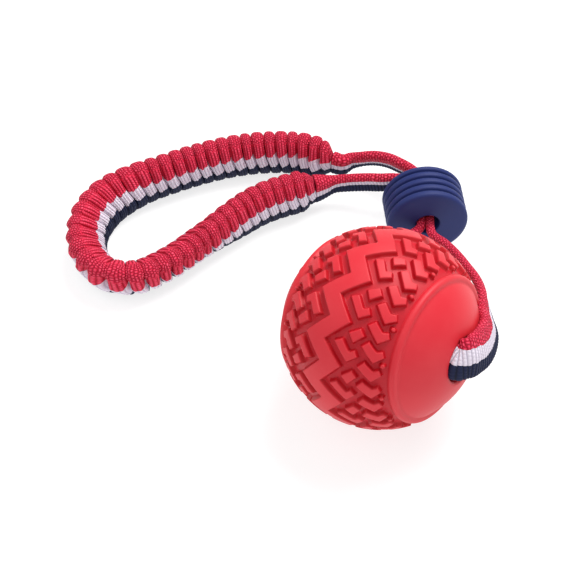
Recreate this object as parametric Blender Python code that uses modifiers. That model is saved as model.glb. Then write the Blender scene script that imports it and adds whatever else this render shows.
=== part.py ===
"""Dog's tug and fetch toy, in metres, +Z up, lying on z = 0 with the origin under its middle.

One length of webbing makes the whole cord. It runs through both holes of a hollow, treaded rubber
ball, its two strands pass side by side through a rubber stopper, and beyond the stopper it goes on
as a pleated handle, drawn up on an elastic core.
"""

from math import cos, pi, radians, sin, sqrt, tau

import bmesh
import bpy
import numpy as np
from mathutils import Matrix, Vector
from mathutils.geometry import delaunay_2d_cdt

GAP = 0.0003  # left between pieces that touch
CUT_OVERRUN = 0.003  # how far a cutter runs past the faces that it opens
FACET = 0.005  # longest flat on the ball's tread
CURVE_STEPS = 24  # points to one span of a smooth route

# Ball: its axis runs through both round holes
BALL_CENTRE_X = 0.0378
BALL_CENTRE_Y = -0.0427
BALL_RADIUS = 0.035
BALL_WALL = 0.0085
BALL_HEADING = radians(-36.9)
BALL_RISE = radians(10.8)
BALL_TURN = radians(109.8)  # about the axis, of the webbing's width in the near hole
HOLE_RADIUS = 0.0084
HOLE_SIDES = 28
DOME_DROP = 0.0014  # of the smooth cap, below the tread's outer surface, at the hole
CAVITY_SIDES = 24
CAP_STEPS = 5

# Bead round each smooth cap
BEAD_LATITUDE = radians(39.2)
BEAD_WIDTH = 0.0033
BEAD_CREASE = 0.0011
BEAD_PROFILE_SHARES = ((0.2, 0.55), (0.5, 0.0), (0.8, 0.55), (1.0, 1.0))

# Tread, in fourteenths of one repeat along the ball's equator and up from it. The other side of the
# equator is the same pattern turned half round about the middle of a repeat. All run anticlockwise.
TREAD_REPEATS = 14
TREAD_DEPTH = 0.0018
TREAD_START = radians(10.07)
TREAD_UNIT_SHARE = 1 / 14
RAISED_BAND_SHARES = ((0, 7.1), (7, 0.5))
INNER_BOOT_SHARES = ((12.2, 8.5), (9.7, 11.7), (7.5, 10.4), (8.4, 8.8), (5.0, 5.9), (6.4, 3.3))
BAR_SHARES = ((5.8, 9.3), (2.6, 12.3), (0.3, 10.4), (2.8, 7.0))
OUTER_BOOT_SHARES = ((10.8, 16.3), (8.0, 19.5), (5.6, 18.6), (6.3, 16.8), (3.5, 13.8), (5.8, 11.7))
OUTER_BOOT_STEP_SHARE = 7
DOT_SHARES = (-2.9, 19.3)
DOT_RADIUS = 0.001
DOT_SIDES = 7
RIM_POINTS_PER_REPEAT = 4
FILL_STEP_SHARE = 3.5
FILL_CLEAR_SHARE = 1.5

# Stopper: a grooved ring on the two strands, lying on its side
STOPPER_BEARING = radians(72.6)  # of its near face, seen from the ball's centre
STOPPER_SPACE = 0.0367  # from the ball to the near face
STOPPER_HEADING = radians(-85)  # the way that its near face looks
STOPPER_RADIUS = 0.0155
STOPPER_LENGTH = 0.0165
STOPPER_BORE_RADIUS = 0.0058
NEAR_RIM_RADIUS = 0.0022
FAR_RIM_RADIUS = 0.0006
RIM_STEPS = 4
GROOVES = 4
GROOVE_WIDTH = 0.001
GROOVE_DEPTH = 0.0007
GROOVE_PITCH = 0.003
PLAIN_BAND = 0.0055
STOPPER_SIDES = 40

# Webbing: gathered where two layers share the stopper's bore, flat beside the ball, and bowed to
# lie against one side of each of the ball's holes
WEB_WIDTH = 0.020
WEB_THICKNESS = 0.003
GATHERED_WIDTH = 0.0086
GATHERED_THICKNESS = 0.0034
WEB_CORNER_SHARE = 0.45
WEB_STEPS = 8
WEB_RING_PITCH = 0.0031
BOW_STEPS = 6
HOLE_SLACK = 0.0006  # between the bowed webbing and the hole that it lies against

# Strands from the stopper to the holes, in ball radii from the ball's centre: out along the axis on
# their own side, towards the stopper, and across both
RIGHT_STRAND_SHARES = (
    (-0.48, 1.72, 0.0),
    (-0.21, 1.54, 0.005),
    (0.23, 1.20, 0.017),
    (0.42, 1.04, 0.034),
    (0.62, 0.875, 0.06),
    (0.80, 0.72, 0.09),
    (0.955, 0.49, 0.115),
    (1.085, 0.29, 0.143),
    (1.15, 0.12, 0.157),
    (1.14, 0.0, 0.157),
    (1.09, -0.083, 0.153),
)
LEFT_STRAND_SHARES = (
    (0.87, 1.62, 0.0),
    (0.93, 1.17, 0.0),
    (1.0, 0.71, 0.0),
    (1.055, 0.32, 0.0),
    (1.04, 0.235, 0.0),
)
STRAND_SPREAD_SHARES = (0.25, 0.7)  # along a strand: where it begins to flatten, and where it is flat
STRAND_BOW_SHARES = (0.78, 0.91)  # and where it begins and ends its bow and its turn into the hole

# Splice of the webbing's two ends, inside the ball
FLAT_RUN = 0.030
LAP_LENGTH = 0.028
STITCH_INSET = 0.003
THREAD_RADIUS = 0.0004

# Handle: an oval sleeve of pleats on an elastic core, from its far mouth round to its near mouth
HANDLE_BACK = 0.0339  # from the stopper's far face to the far mouth, along -X
HANDLE_ACROSS = 0.0238  # and along +Y
HANDLE_REACH = 0.095
HANDLE_SPAN = 0.0684
HANDLE_SHARES = (
    (0.0, 0.91),
    (0.14, 0.985),
    (0.29, 0.99),
    (0.43, 0.955),
    (0.56, 0.90),
    (0.69, 0.825),
    (0.82, 0.73),
    (0.94, 0.58),
    (1.0, 0.35),
    (0.975, 0.14),
    (0.90, 0.02),
    (0.79, 0.0),
    (0.67, 0.095),
    (0.54, 0.265),
    (0.415, 0.43),
    (0.29, 0.57),
    (0.155, 0.655),
    (0.085, 0.686),
)
SLEEVE_HEIGHT = 0.020
SLEEVE_THICKNESS = 0.012
SLEEVE_SIDES = 12
PLEATS = 46
PLEAT_VALLEY_SHARE = 0.88
MOUTH_SHARE = 0.72
MOUTH_TAPER = 0.011
CORE_RADIUS = 0.003
CORE_CLEARANCE = 0.0006

# Tails from the sleeve's mouths to the stopper, as shares of the way along X, along Y and up
FAR_TAIL_SHARES = (
    (0.20, -0.02, 0.05),
    (0.32, -0.03, 0.20),
    (0.466, 0.02, 0.48),
    (0.606, 0.126, 0.70),
    (0.732, 0.289, 0.88),
    (0.86, 0.48, 0.97),
    (0.955, 0.70, 1.0),
)
NEAR_TAIL_SHARES = (
    (0.20, -0.30, 0.0),
    (0.34, -0.345, 0.06),
    (0.511, -0.20, 0.35),
    (0.65, 0.03, 0.68),
    (0.79, 0.17, 0.92),
    (0.91, 0.33, 1.0),
    (0.98, 0.66, 1.0),
)
TAIL_STRAIGHT = 0.004
TACK_LENGTH = 0.0022
TACK_THICKNESS = 0.0008
TACK_INSET = 0.0024
TACK_BEVEL = 0.0003
STRAND_SIDE = (GATHERED_THICKNESS + 2 * GAP) / 2  # of each layer's middle, from the bore's axis


def ball_frame():
    """The ball's own frame: Z along its axis, X across the webbing in the near hole."""
    centre = Matrix.Translation((BALL_CENTRE_X, BALL_CENTRE_Y, BALL_RADIUS))
    tilt = Matrix.Rotation(pi / 2 - BALL_RISE, 4, "Y")
    return centre @ Matrix.Rotation(BALL_HEADING, 4, "Z") @ tilt @ Matrix.Rotation(BALL_TURN, 4, "Z")


def stopper_frame():
    """The stopper's own frame: Z along its bore towards the ball, X level, origin at its middle."""
    from_ball = BALL_RADIUS + STOPPER_SPACE
    near_face = Vector(
        (
            BALL_CENTRE_X + from_ball * cos(STOPPER_BEARING),
            BALL_CENTRE_Y + from_ball * sin(STOPPER_BEARING),
            STOPPER_RADIUS,
        )
    )
    turn = Matrix.Rotation(STOPPER_HEADING, 4, "Z") @ Matrix.Rotation(pi / 2, 4, "Y")
    middle = near_face - turn.to_3x3() @ Vector((0, 0, STOPPER_LENGTH / 2))
    return Matrix.Translation(middle) @ turn @ Matrix.Rotation(pi / 2, 4, "Z")


def handle_points():
    """The handle's middle line through its chosen points, from the far mouth to the near one."""
    far_face = stopper_frame() @ Vector((0, 0, -STOPPER_LENGTH / 2))
    start_x = far_face.x - HANDLE_BACK
    start_y = far_face.y + HANDLE_ACROSS - HANDLE_SPAN * HANDLE_SHARES[0][1]
    level = SLEEVE_HEIGHT / 2
    return [(start_x - HANDLE_REACH * u, start_y + HANDLE_SPAN * v, level) for u, v in HANDLE_SHARES]


def smooth_route(points, count):
    """Evenly spaced points, as rows, on a smooth curve through the given ones."""
    points = np.array([tuple(point) for point in points])
    steps = np.linalg.norm(np.diff(points, axis=0), axis=1)
    knots = np.concatenate([[0], np.cumsum(steps)])
    slopes = np.gradient(points, knots, axis=0)
    share = np.linspace(0, 1, CURVE_STEPS, endpoint=False)[:, None]
    fine = []
    for i, step in enumerate(steps):
        leave = slopes[i] * step
        arrive = slopes[i + 1] * step
        cubic = 2 * (points[i] - points[i + 1]) + leave + arrive
        square = 3 * (points[i + 1] - points[i]) - 2 * leave - arrive
        fine.append(points[i] + share * (leave + share * (square + share * cubic)))
    fine = np.vstack([*fine, points[-1:]])
    along = np.concatenate([[0], np.cumsum(np.linalg.norm(np.diff(fine, axis=0), axis=1))])
    even = np.linspace(0, along[-1], count)
    return np.column_stack([np.interp(even, along, fine[:, axis]) for axis in range(3)])


def route_length(rows):
    return float(np.linalg.norm(np.diff(rows, axis=0), axis=1).sum())


def unit(vector):
    return vector / np.linalg.norm(vector)


def new_collection(name):
    collection = bpy.data.collections.new(name)
    bpy.context.scene.collection.children.link(collection)
    return collection


def new_material(name, colour, roughness):
    material = bpy.data.materials.new(name)
    material.use_nodes = True
    shader = material.node_tree.nodes["Principled BSDF"]
    shader.inputs["Base Color"].default_value = (*colour, 1)
    shader.inputs["Roughness"].default_value = roughness
    shader.inputs["Metallic"].default_value = 0
    return material


def add_object(name, data, frame, collection, material=None):
    obj = bpy.data.objects.new(name, data)
    obj.matrix_world = frame
    collection.objects.link(obj)
    if material:
        data.materials.append(material)
    return obj


def add_mesh(name, shape, frame, collection, material=None):
    """An object from a bmesh that is in the frame's coordinates."""
    bmesh.ops.recalc_face_normals(shape, faces=shape.faces)
    mesh = bpy.data.meshes.new(name)
    shape.to_mesh(mesh)
    shape.free()
    mesh.shade_smooth()
    mesh.set_sharp_from_angle(angle=radians(40))
    return add_object(name, mesh, frame, collection, material)


def add_cutter(name, shape, frame, target):
    cutter = add_mesh(name, shape, frame, CUTTERS)
    cutter.hide_render = True
    cutter.display_type = "WIRE"
    cut = target.modifiers.new(name, "BOOLEAN")
    cut.operation = "DIFFERENCE"
    cut.object = cutter


def add_joint(name, frame, parent=None):
    """An empty at a joint, with its Z along the joint's axis."""
    empty = bpy.data.objects.new(name, None)
    PARTS.objects.link(empty)
    attach(empty, parent, frame)
    return empty


def attach(obj, parent, frame=None):
    """Parents an object without moving it."""
    obj.matrix_world = frame or obj.matrix_world.copy()
    if parent:
        obj.parent = parent
        obj.matrix_parent_inverse = parent.matrix_world.inverted()
    bpy.context.view_layer.update()


def poly_curve(name, points, radii, closed=False):
    curve = bpy.data.curves.new(name, "CURVE")
    curve.dimensions = "3D"
    curve.use_fill_caps = True
    spline = curve.splines.new("POLY")
    spline.points.add(len(points) - 1)
    for place, point, radius in zip(spline.points, points, radii):
        place.co = (*point, 1)
        place.radius = radius
    spline.use_cyclic_u = closed
    return curve


def mesh_of_curve(curve):
    """A closed bmesh of a bevelled curve, its end caps joined to its sides."""
    temporary = bpy.data.objects.new(curve.name, curve)
    bpy.context.scene.collection.objects.link(temporary)
    graph = bpy.context.evaluated_depsgraph_get()
    mesh = bpy.data.meshes.new_from_object(temporary.evaluated_get(graph))
    bpy.data.objects.remove(temporary)
    shape = bmesh.new()
    shape.from_mesh(mesh)
    bmesh.ops.remove_doubles(shape, verts=shape.verts, dist=GAP / 10)
    return shape


def loft(rings):
    """A closed solid through rings of equal numbers of points."""
    shape = bmesh.new()
    rows = [[shape.verts.new(point) for point in ring] for ring in rings]
    count = len(rings[0])
    for first, second in zip(rows, rows[1:]):
        for i in range(count):
            shape.faces.new((first[i - 1], first[i], second[i], second[i - 1]))
    shape.faces.new(rows[0])
    shape.faces.new(rows[-1])
    return shape


def web_section(width, thickness, bow=0):
    """A strap's outline, its corners cut, in (across, through). A bow of 1 or -1 curls it."""
    corner = thickness * WEB_CORNER_SHARE / 2
    across, through = width / 2, thickness / 2
    inner = across - corner
    top = [(inner - 2 * inner * i / WEB_STEPS, through) for i in range(WEB_STEPS + 1)]
    top = [(across, through - corner), *top, (-across, through - corner)]
    flat = top + [(-x, -y) for x, y in top]
    if not bow:
        return flat
    radius = bow_radius() / bow
    return [((radius - y) * sin(x / radius), radius - (radius - y) * cos(x / radius)) for x, y in flat]


def bow_radius():
    """Of the bowed webbing's middle, in a hole."""
    return HOLE_RADIUS - HOLE_SLACK - WEB_THICKNESS / 2


def web_rings(rows, uprights, widths, thicknesses, bows):
    """Sections of webbing along a route, each with its width along its own upright."""
    tangents = np.gradient(rows, axis=0)
    rings = []
    for place, tangent, upright, *sizes in zip(rows, tangents, uprights, widths, thicknesses, bows):
        tangent = unit(tangent)
        upright = unit(upright - tangent * (upright @ tangent))
        through = np.cross(tangent, upright)
        rings.append([place + upright * x + through * y for x, y in web_section(*sizes)])
    return rings


def route_count(points):
    return int(route_length(smooth_route(points, len(points) * CURVE_STEPS)) / WEB_RING_PITCH) + 1


def tread_point(along, up, radius):
    """A place on the ball, from fourteenths of a repeat along and up from its equator."""
    step = tau / TREAD_REPEATS * TREAD_UNIT_SHARE
    longitude = TREAD_START + along * step
    latitude = up * step
    level = radius * cos(latitude)
    return Vector((level * cos(longitude), level * sin(longitude), radius * sin(latitude)))


def tread_unit_length():
    return BALL_RADIUS * tau / TREAD_REPEATS * TREAD_UNIT_SHARE


def refined(outline):
    """A closed outline with its long sides split, so that its facets follow the sphere."""
    longest = FACET / tread_unit_length()
    points = []
    for start, end in zip(outline, outline[1:] + outline[:1]):
        start, end = Vector(start), Vector(end)
        pieces = max(1, round((end - start).length / longest))
        points += [start.lerp(end, i / pieces) for i in range(pieces)]
    return points


def block_outlines():
    """The raised blocks of one repeat, on both sides of the equator."""
    repeat = 1 / TREAD_UNIT_SHARE
    dot_radius = DOT_RADIUS / tread_unit_length()
    turns = [tau * i / DOT_SIDES for i in range(DOT_SIDES)]
    dot = [(DOT_SHARES[0] + dot_radius * cos(a), DOT_SHARES[1] + dot_radius * sin(a)) for a in turns]
    shifted = [(x - OUTER_BOOT_STEP_SHARE, y) for x, y in OUTER_BOOT_SHARES]
    upper = [list(INNER_BOOT_SHARES), list(BAR_SHARES), list(OUTER_BOOT_SHARES), shifted, dot]
    lower = [[(repeat / 2 - x, -y) for x, y in outline] for outline in upper]
    return [refined(outline) for outline in upper + lower]


def repeated_blocks(first, last):
    """The raised blocks of each repeat in the range."""
    shifts = [Vector((i / TREAD_UNIT_SHARE, 0)) for i in range(first, last)]
    return [[point + shift for point in block] for shift in shifts for block in block_outlines()]


def band_outline(first, last):
    """The zigzag band round the equator, as one outline over the given repeats."""
    repeat = 1 / TREAD_UNIT_SHARE
    upper = [(x + repeat * i, y) for i in range(first, last) for x, y in RAISED_BAND_SHARES]
    lower = [(repeat * (first + last) - repeat / 2 - x, -y) for x, y in upper]
    return refined((upper + lower)[::-1])


def clear_of(point, outlines):
    """True where a point lies far enough from every side of the outlines."""
    for outline in outlines:
        for start, end in zip(outline, outline[1:] + outline[:1]):
            side = end - start
            share = min(1, max(0, (point - start).dot(side) / side.length_squared))
            if (point - start - side * share).length < FILL_CLEAR_SHARE:
                return False
    return True


def tread_strip():
    """(points, triangles, raised triangles) of the tread laid flat, between its two beads."""
    repeat = 1 / TREAD_UNIT_SHARE
    width = repeat * TREAD_REPEATS
    edge = BEAD_LATITUDE / (tau / TREAD_REPEATS * TREAD_UNIT_SHARE)
    rim_count = TREAD_REPEATS * RIM_POINTS_PER_REPEAT
    rim = [width * i / rim_count for i in range(rim_count + 1)]
    frame = [Vector((x, -edge)) for x in rim] + [Vector((x, edge)) for x in reversed(rim)]
    raised = [band_outline(-1, TREAD_REPEATS + 2), *repeated_blocks(-1, TREAD_REPEATS + 1)]
    near = [band_outline(-1, 3), *repeated_blocks(-1, 2)]
    rows = int(edge / FILL_STEP_SHARE)
    columns = int(repeat / FILL_STEP_SHARE)
    fill = []
    for row in range(-rows, rows + 1):
        for column in range(columns):
            point = Vector(((column + 0.5) * FILL_STEP_SHARE, row * FILL_STEP_SHARE))
            if edge - abs(point.y) > FILL_CLEAR_SHARE and clear_of(point, near):
                fill += [point + Vector((repeat * i, 0)) for i in range(TREAD_REPEATS)]
    points, faces = [], []
    for outline in [frame, *raised]:
        faces.append(list(range(len(points), len(points) + len(outline))))
        points += outline
    points += fill
    places, _, triangles, _, _, inside = delaunay_2d_cdt(points, [], faces, 0, 1e-6)
    kept = [(t, within) for t, within in zip(triangles, inside) if 0 in within]
    return places, [t for t, _ in kept], [len(within) > 1 for _, within in kept]


def ball_shape():
    """The ball's outer surface: the tread, with a bead and a smooth cap at either end."""
    shape = bmesh.new()
    floor = BALL_RADIUS - TREAD_DEPTH
    places, triangles, lifted = tread_strip()
    verts = [shape.verts.new(tread_point(place.x, place.y, floor)) for place in places]
    raised = []
    for corners, up in zip(triangles, lifted):
        face = shape.faces.new([verts[i] for i in corners])
        if up:
            raised.append(face)
    bmesh.ops.remove_doubles(shape, verts=shape.verts, dist=GAP / 10)
    raised = [face for face in raised if face.is_valid]
    lift = bmesh.ops.extrude_face_region(shape, geom=raised)
    for vert in lift["geom"]:
        if isinstance(vert, bmesh.types.BMVert):
            vert.co *= BALL_RADIUS / floor
    bmesh.ops.delete(shape, geom=raised, context="FACES")
    for side in (1, -1):
        add_cap(shape, side)
    bmesh.ops.remove_doubles(shape, verts=shape.verts, dist=GAP / 10)
    return shape


def cap_profile():
    """(latitude, radius) of the bead and the smooth cap, from the tread to the pole."""
    floor = BALL_RADIUS - TREAD_DEPTH
    bead_angle = BEAD_WIDTH / BALL_RADIUS
    bead = [(BEAD_LATITUDE + bead_angle * a, BALL_RADIUS - BEAD_CREASE * d) for a, d in BEAD_PROFILE_SHARES]
    start, crease = bead[-1]
    pole = BALL_RADIUS - DOME_DROP
    cap = []
    for i in range(1, CAP_STEPS + 1):
        share = i / CAP_STEPS
        cap.append((start + (pi / 2 - start) * share, crease + (pole - crease) * share))
    return [(BEAD_LATITUDE, floor), *bead, *cap]


def add_cap(shape, side):
    """Spins the bead and the smooth cap round the ball's axis, at its upper or lower end."""
    turn = Matrix.Rotation(TREAD_START, 3, "Z")
    profile = [turn @ Vector((r * cos(a), 0, side * r * sin(a))) for a, r in cap_profile()]
    verts = [shape.verts.new(point) for point in profile]
    edges = [shape.edges.new(pair) for pair in zip(verts, verts[1:])]
    bmesh.ops.spin(
        shape,
        geom=verts + edges,
        cent=(0, 0, 0),
        axis=(0, 0, 1),
        angle=tau,
        steps=TREAD_REPEATS * RIM_POINTS_PER_REPEAT,
        use_merge=True,
    )


def prism(outline, low, high):
    """A closed solid over a flat outline in X and Y."""
    shape = bmesh.new()
    base = shape.faces.new([shape.verts.new((x, y, low)) for x, y in outline])
    top = bmesh.ops.extrude_face_region(shape, geom=[base], use_keep_orig=True)
    for vert in top["geom"]:
        if isinstance(vert, bmesh.types.BMVert):
            vert.co.z = high
    return shape


def make_ball(material):
    frame = ball_frame()
    ball = add_mesh("ball", ball_shape(), frame, PARTS, material)
    cavity = bmesh.new()
    bmesh.ops.create_uvsphere(
        cavity,
        u_segments=CAVITY_SIDES,
        v_segments=CAVITY_SIDES // 2,
        radius=BALL_RADIUS - BALL_WALL,
    )
    add_cutter("ball_cavity_cutter", cavity, frame, ball)
    turns = [tau * i / HOLE_SIDES for i in range(HOLE_SIDES)]
    hole = [(HOLE_RADIUS * cos(a), HOLE_RADIUS * sin(a)) for a in turns]
    reach = BALL_RADIUS + CUT_OVERRUN
    add_cutter("ball_hole_cutter", prism(hole, -reach, reach), frame, ball)
    return ball


def stopper_profile():
    """(radius, height) down the stopper's outside, from its near face, and back up its bore."""
    top = STOPPER_LENGTH / 2
    points = []
    for i in range(RIM_STEPS + 1):
        angle = pi / 2 * (1 - i / RIM_STEPS)
        across = STOPPER_RADIUS - NEAR_RIM_RADIUS + NEAR_RIM_RADIUS * cos(angle)
        points.append((across, top - NEAR_RIM_RADIUS + NEAR_RIM_RADIUS * sin(angle)))
    floor = STOPPER_RADIUS - GROOVE_DEPTH
    for i in range(GROOVES):
        upper = top - PLAIN_BAND - GROOVE_PITCH * i
        lower = upper - GROOVE_WIDTH
        points += [(STOPPER_RADIUS, upper), (floor, upper), (floor, lower), (STOPPER_RADIUS, lower)]
    points += [(STOPPER_RADIUS, FAR_RIM_RADIUS - top), (STOPPER_RADIUS - FAR_RIM_RADIUS, -top)]
    return points + [(STOPPER_BORE_RADIUS, -top), (STOPPER_BORE_RADIUS, top)]


def make_stopper(material):
    shape = bmesh.new()
    verts = [shape.verts.new((x, 0, z)) for x, z in stopper_profile()]
    for pair in zip(verts, verts[1:] + verts[:1]):
        shape.edges.new(pair)
    stopper = add_mesh("stopper", shape, stopper_frame(), PARTS, material)
    screw = stopper.modifiers.new("turn", "SCREW")
    screw.steps = screw.render_steps = STOPPER_SIDES
    screw.use_merge_vertices = True
    screw.merge_threshold = GAP / 10
    screw.use_smooth_shade = True
    return stopper


def bore_place(side, height):
    """A place in the stopper's bore, on the middle line of one of the two layers."""
    return np.array(stopper_frame() @ Vector((side * STRAND_SIDE, 0, height)))


def strand_frame():
    """(centre, axis, towards, across): the ball's axis, and the ways to the stopper and across both."""
    frame = ball_frame()
    centre = np.array(frame.translation)
    axis = np.array(frame.col[2][:3])
    mouth = np.array(stopper_frame() @ Vector((0, 0, STOPPER_LENGTH / 2))) - centre
    towards = unit(mouth - axis * (mouth @ axis))
    return centre, axis, towards, np.cross(axis, towards)


def hole_side(pole):
    """The side of a hole that the webbing lies against, and the webbing's width there."""
    _, _, towards, across = strand_frame()
    frame = ball_frame()
    if pole > 0:
        return np.array(frame.col[1][:3]), np.array(frame.col[0][:3])
    return towards, across


def strand_route(shares, side, pole):
    """From the middle of the bore round the ball's side, and straight into the hole at one pole."""
    centre, axis, towards, across = strand_frame()
    half = STOPPER_LENGTH / 2
    start = [bore_place(side, height) for height in (GAP / 2, half / 2, half)]
    ways = np.array((axis * pole, towards, across))
    middle = [centre + BALL_RADIUS * np.array(share) @ ways for share in shares]
    lie, _ = hole_side(pole)
    inner = BALL_RADIUS - BALL_WALL / 2 + GAP / 2
    heights = (BALL_RADIUS, (BALL_RADIUS + inner) / 2, inner)
    end = [centre + lie * bow_radius() + axis * pole * height for height in heights]
    return start + middle + end


def make_strand(name, shares, side, pole, material):
    points = strand_route(shares, side, pole)
    rows = smooth_route(points, route_count(points))
    along = np.linspace(0, 1, len(rows))
    spread = np.interp(along, STRAND_SPREAD_SHARES, (0, 1))
    bows = np.interp(along, STRAND_BOW_SHARES, (0, 1))
    _, across = hole_side(pole)
    _, _, _, upright = strand_frame()
    uprights = upright * (1 - bows[:, None]) + across * bows[:, None]
    widths = GATHERED_WIDTH + (WEB_WIDTH - GATHERED_WIDTH) * spread
    thicknesses = GATHERED_THICKNESS + (WEB_THICKNESS - GATHERED_THICKNESS) * spread
    shape = loft(web_rings(rows, uprights, widths, thicknesses, bows))
    return add_mesh(name, shape, Matrix.Identity(4), PARTS, material)


def make_webbing_in_ball(material):
    """The run across the ball, with the webbing's other end lapped on it."""
    centre, axis, _, _ = strand_frame()
    near_lie, near_across = hole_side(1)
    far_lie, far_across = hole_side(-1)
    end = BALL_RADIUS - BALL_WALL / 2 - GAP / 2
    hole = sqrt((BALL_RADIUS - BALL_WALL) ** 2 - HOLE_RADIUS**2)
    heights = [end, *np.linspace(hole, FLAT_RUN / 2, BOW_STEPS + 1)]
    heights += [-height for height in reversed(heights)]
    bows = np.interp(heights, (-hole, -FLAT_RUN / 2, FLAT_RUN / 2, hole), (-1, 0, 0, 1))
    level = unit(near_across + far_across)
    rows, uprights = [], []
    for height, bow in zip(heights, bows):
        lie, across = (near_lie, near_across) if bow > 0 else (far_lie, far_across)
        rows.append(centre + axis * height + lie * bow_radius() * abs(bow))
        uprights.append(level * (1 - abs(bow)) + across * abs(bow))
    rings = []
    for place, upright, bow in zip(rows, uprights, bows):
        upright = unit(upright)
        through = np.cross(-axis, upright)
        section = web_section(WEB_WIDTH, WEB_THICKNESS, bow)
        rings.append([place + upright * x + through * y for x, y in section])
    run = add_mesh("webbing_in_ball", loft(rings), Matrix.Identity(4), PARTS, material)
    shift = Matrix.Translation((0, WEB_THICKNESS + GAP, 0))
    lap_shape = prism(web_section(WEB_WIDTH, WEB_THICKNESS), -LAP_LENGTH / 2, LAP_LENGTH / 2)
    lap = add_mesh("splice_lap", lap_shape, lap_frame() @ shift, PARTS, material)
    return run, lap


def lap_frame():
    """The lap's frame: Z along the ball's axis, X across the webbing."""
    centre, axis, _, _ = strand_frame()
    level = unit(hole_side(1)[1] + hole_side(-1)[1])
    frame = Matrix(np.column_stack([level, np.cross(axis, level), axis]).tolist()).to_4x4()
    frame.translation = centre
    return frame


def make_stitching(material):
    """A closed row of thread on the lapped end."""
    across = WEB_WIDTH / 2 - STITCH_INSET
    along = LAP_LENGTH / 2 - STITCH_INSET
    level = WEB_THICKNESS * 1.5 + 2 * GAP + THREAD_RADIUS
    corners = [(x, level, z) for x, z in ((across, along), (-across, along), (-across, -along), (across, -along))]
    curve = poly_curve("splice_stitching", corners, [1] * 4, closed=True)
    curve.bevel_depth = THREAD_RADIUS
    curve.bevel_resolution = 2
    return add_object("splice_stitching", curve, lap_frame(), PARTS, material)


def oval_outline():
    """The sleeve's section as a closed curve, thickness along X and height along Y."""
    turns = [tau * i / SLEEVE_SIDES for i in range(SLEEVE_SIDES)]
    points = [(SLEEVE_THICKNESS / 2 * cos(a), SLEEVE_HEIGHT / 2 * sin(a), 0) for a in turns]
    outline = poly_curve("sleeve_section", points, [1] * SLEEVE_SIDES, closed=True)
    oval = add_object("sleeve_section", outline, Matrix.Identity(4), CUTTERS)
    oval.hide_render = True
    oval.display_type = "WIRE"
    return oval


def sleeve_radii(length, count):
    """Each point's size: a valley and a peak in turn, drawn in towards both mouths."""
    radii = []
    for i in range(count):
        from_mouth = min(i, count - 1 - i) * length / (count - 1)
        open_share = sin(min(1, from_mouth / MOUTH_TAPER) * pi / 2)
        pleat = 1 if i % 2 else PLEAT_VALLEY_SHARE
        radii.append(pleat * (MOUTH_SHARE + (1 - MOUTH_SHARE) * open_share))
    return radii


def straight_ends(rows, extra):
    """A route carried on straight past both ends."""
    first = rows[0] - unit(rows[1] - rows[0]) * extra
    last = rows[-1] + unit(rows[-1] - rows[-2]) * extra
    return np.vstack([first, rows, last])


def make_handle(rows, sleeve_material, core_material):
    """The pleated sleeve, bored along its length, and the elastic core that fills it."""
    outside = poly_curve("handle_sleeve", rows, sleeve_radii(route_length(rows), len(rows)))
    outside.twist_mode = "Z_UP"
    outside.bevel_mode = "OBJECT"
    outside.bevel_object = oval_outline()
    shape = mesh_of_curve(outside)
    sleeve = add_mesh("handle_sleeve", shape, Matrix.Identity(4), PARTS, sleeve_material)
    middle = rows[::2]
    bore = straight_ends(middle, CUT_OVERRUN)
    bore_curve = poly_curve("sleeve_bore_cutter", bore, [1] * len(bore))
    bore_curve.bevel_depth = CORE_RADIUS + CORE_CLEARANCE
    bore_curve.bevel_resolution = 2
    add_cutter("sleeve_bore_cutter", mesh_of_curve(bore_curve), Matrix.Identity(4), sleeve)
    core_curve = poly_curve("bungee_core", middle, [1] * len(middle))
    core_curve.bevel_depth = CORE_RADIUS
    core_curve.bevel_resolution = 2
    add_object("bungee_core", core_curve, Matrix.Identity(4), PARTS, core_material)


def tail_route(shares, side, mouth, outward):
    """From a sleeve mouth to the middle of the stopper's bore."""
    start = mouth + outward * GAP
    straight = mouth + outward * TAIL_STRAIGHT
    face = bore_place(side, -STOPPER_LENGTH / 2)
    way = face - start
    inside = [bore_place(side, -STOPPER_LENGTH / 4), bore_place(side, -GAP / 2)]
    return [start, straight] + [start + way * np.array(share) for share in shares] + [face] + inside


def make_tail(name, points, material):
    """(the tail's middle line, its solid)."""
    rows = smooth_route(points, route_count(points))
    uprights = np.tile((0.0, 0.0, 1.0), (len(rows), 1))
    sizes = np.ones(len(rows))
    rings = web_rings(rows, uprights, sizes * GATHERED_WIDTH, sizes * GATHERED_THICKNESS, sizes * 0)
    return rows, add_mesh(name, loft(rings), Matrix.Identity(4), PARTS, material)


def make_tack(name, rows, side, material):
    """A bar of stitching across a tail's outer face, close to the sleeve's mouth."""
    along = np.concatenate([[0], np.cumsum(np.linalg.norm(np.diff(rows, axis=0), axis=1))])
    reach = np.array((TACK_INSET, TACK_INSET + TACK_LENGTH))
    start, end = np.column_stack([np.interp(reach, along, rows[:, axis]) for axis in range(3)])
    forward = unit(end - start)
    out = unit(np.cross(forward, (0, 0, 1))) * side
    middle = (start + end) / 2 + out * (GATHERED_THICKNESS / 2 + GAP + TACK_THICKNESS / 2)
    shape = bmesh.new()
    bmesh.ops.create_cube(shape, size=1)
    height = GATHERED_WIDTH * (1 - WEB_CORNER_SHARE / 2)
    bmesh.ops.scale(shape, vec=(TACK_LENGTH, TACK_THICKNESS, height), verts=shape.verts)
    turn = Matrix.Rotation(np.arctan2(forward[1], forward[0]), 4, "Z")
    tack = add_mesh(name, shape, Matrix.Translation(middle) @ turn, PARTS, material)
    bevel = tack.modifiers.new("edges", "BEVEL")
    bevel.width = TACK_BEVEL
    bevel.segments = 1
    return tack


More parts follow.
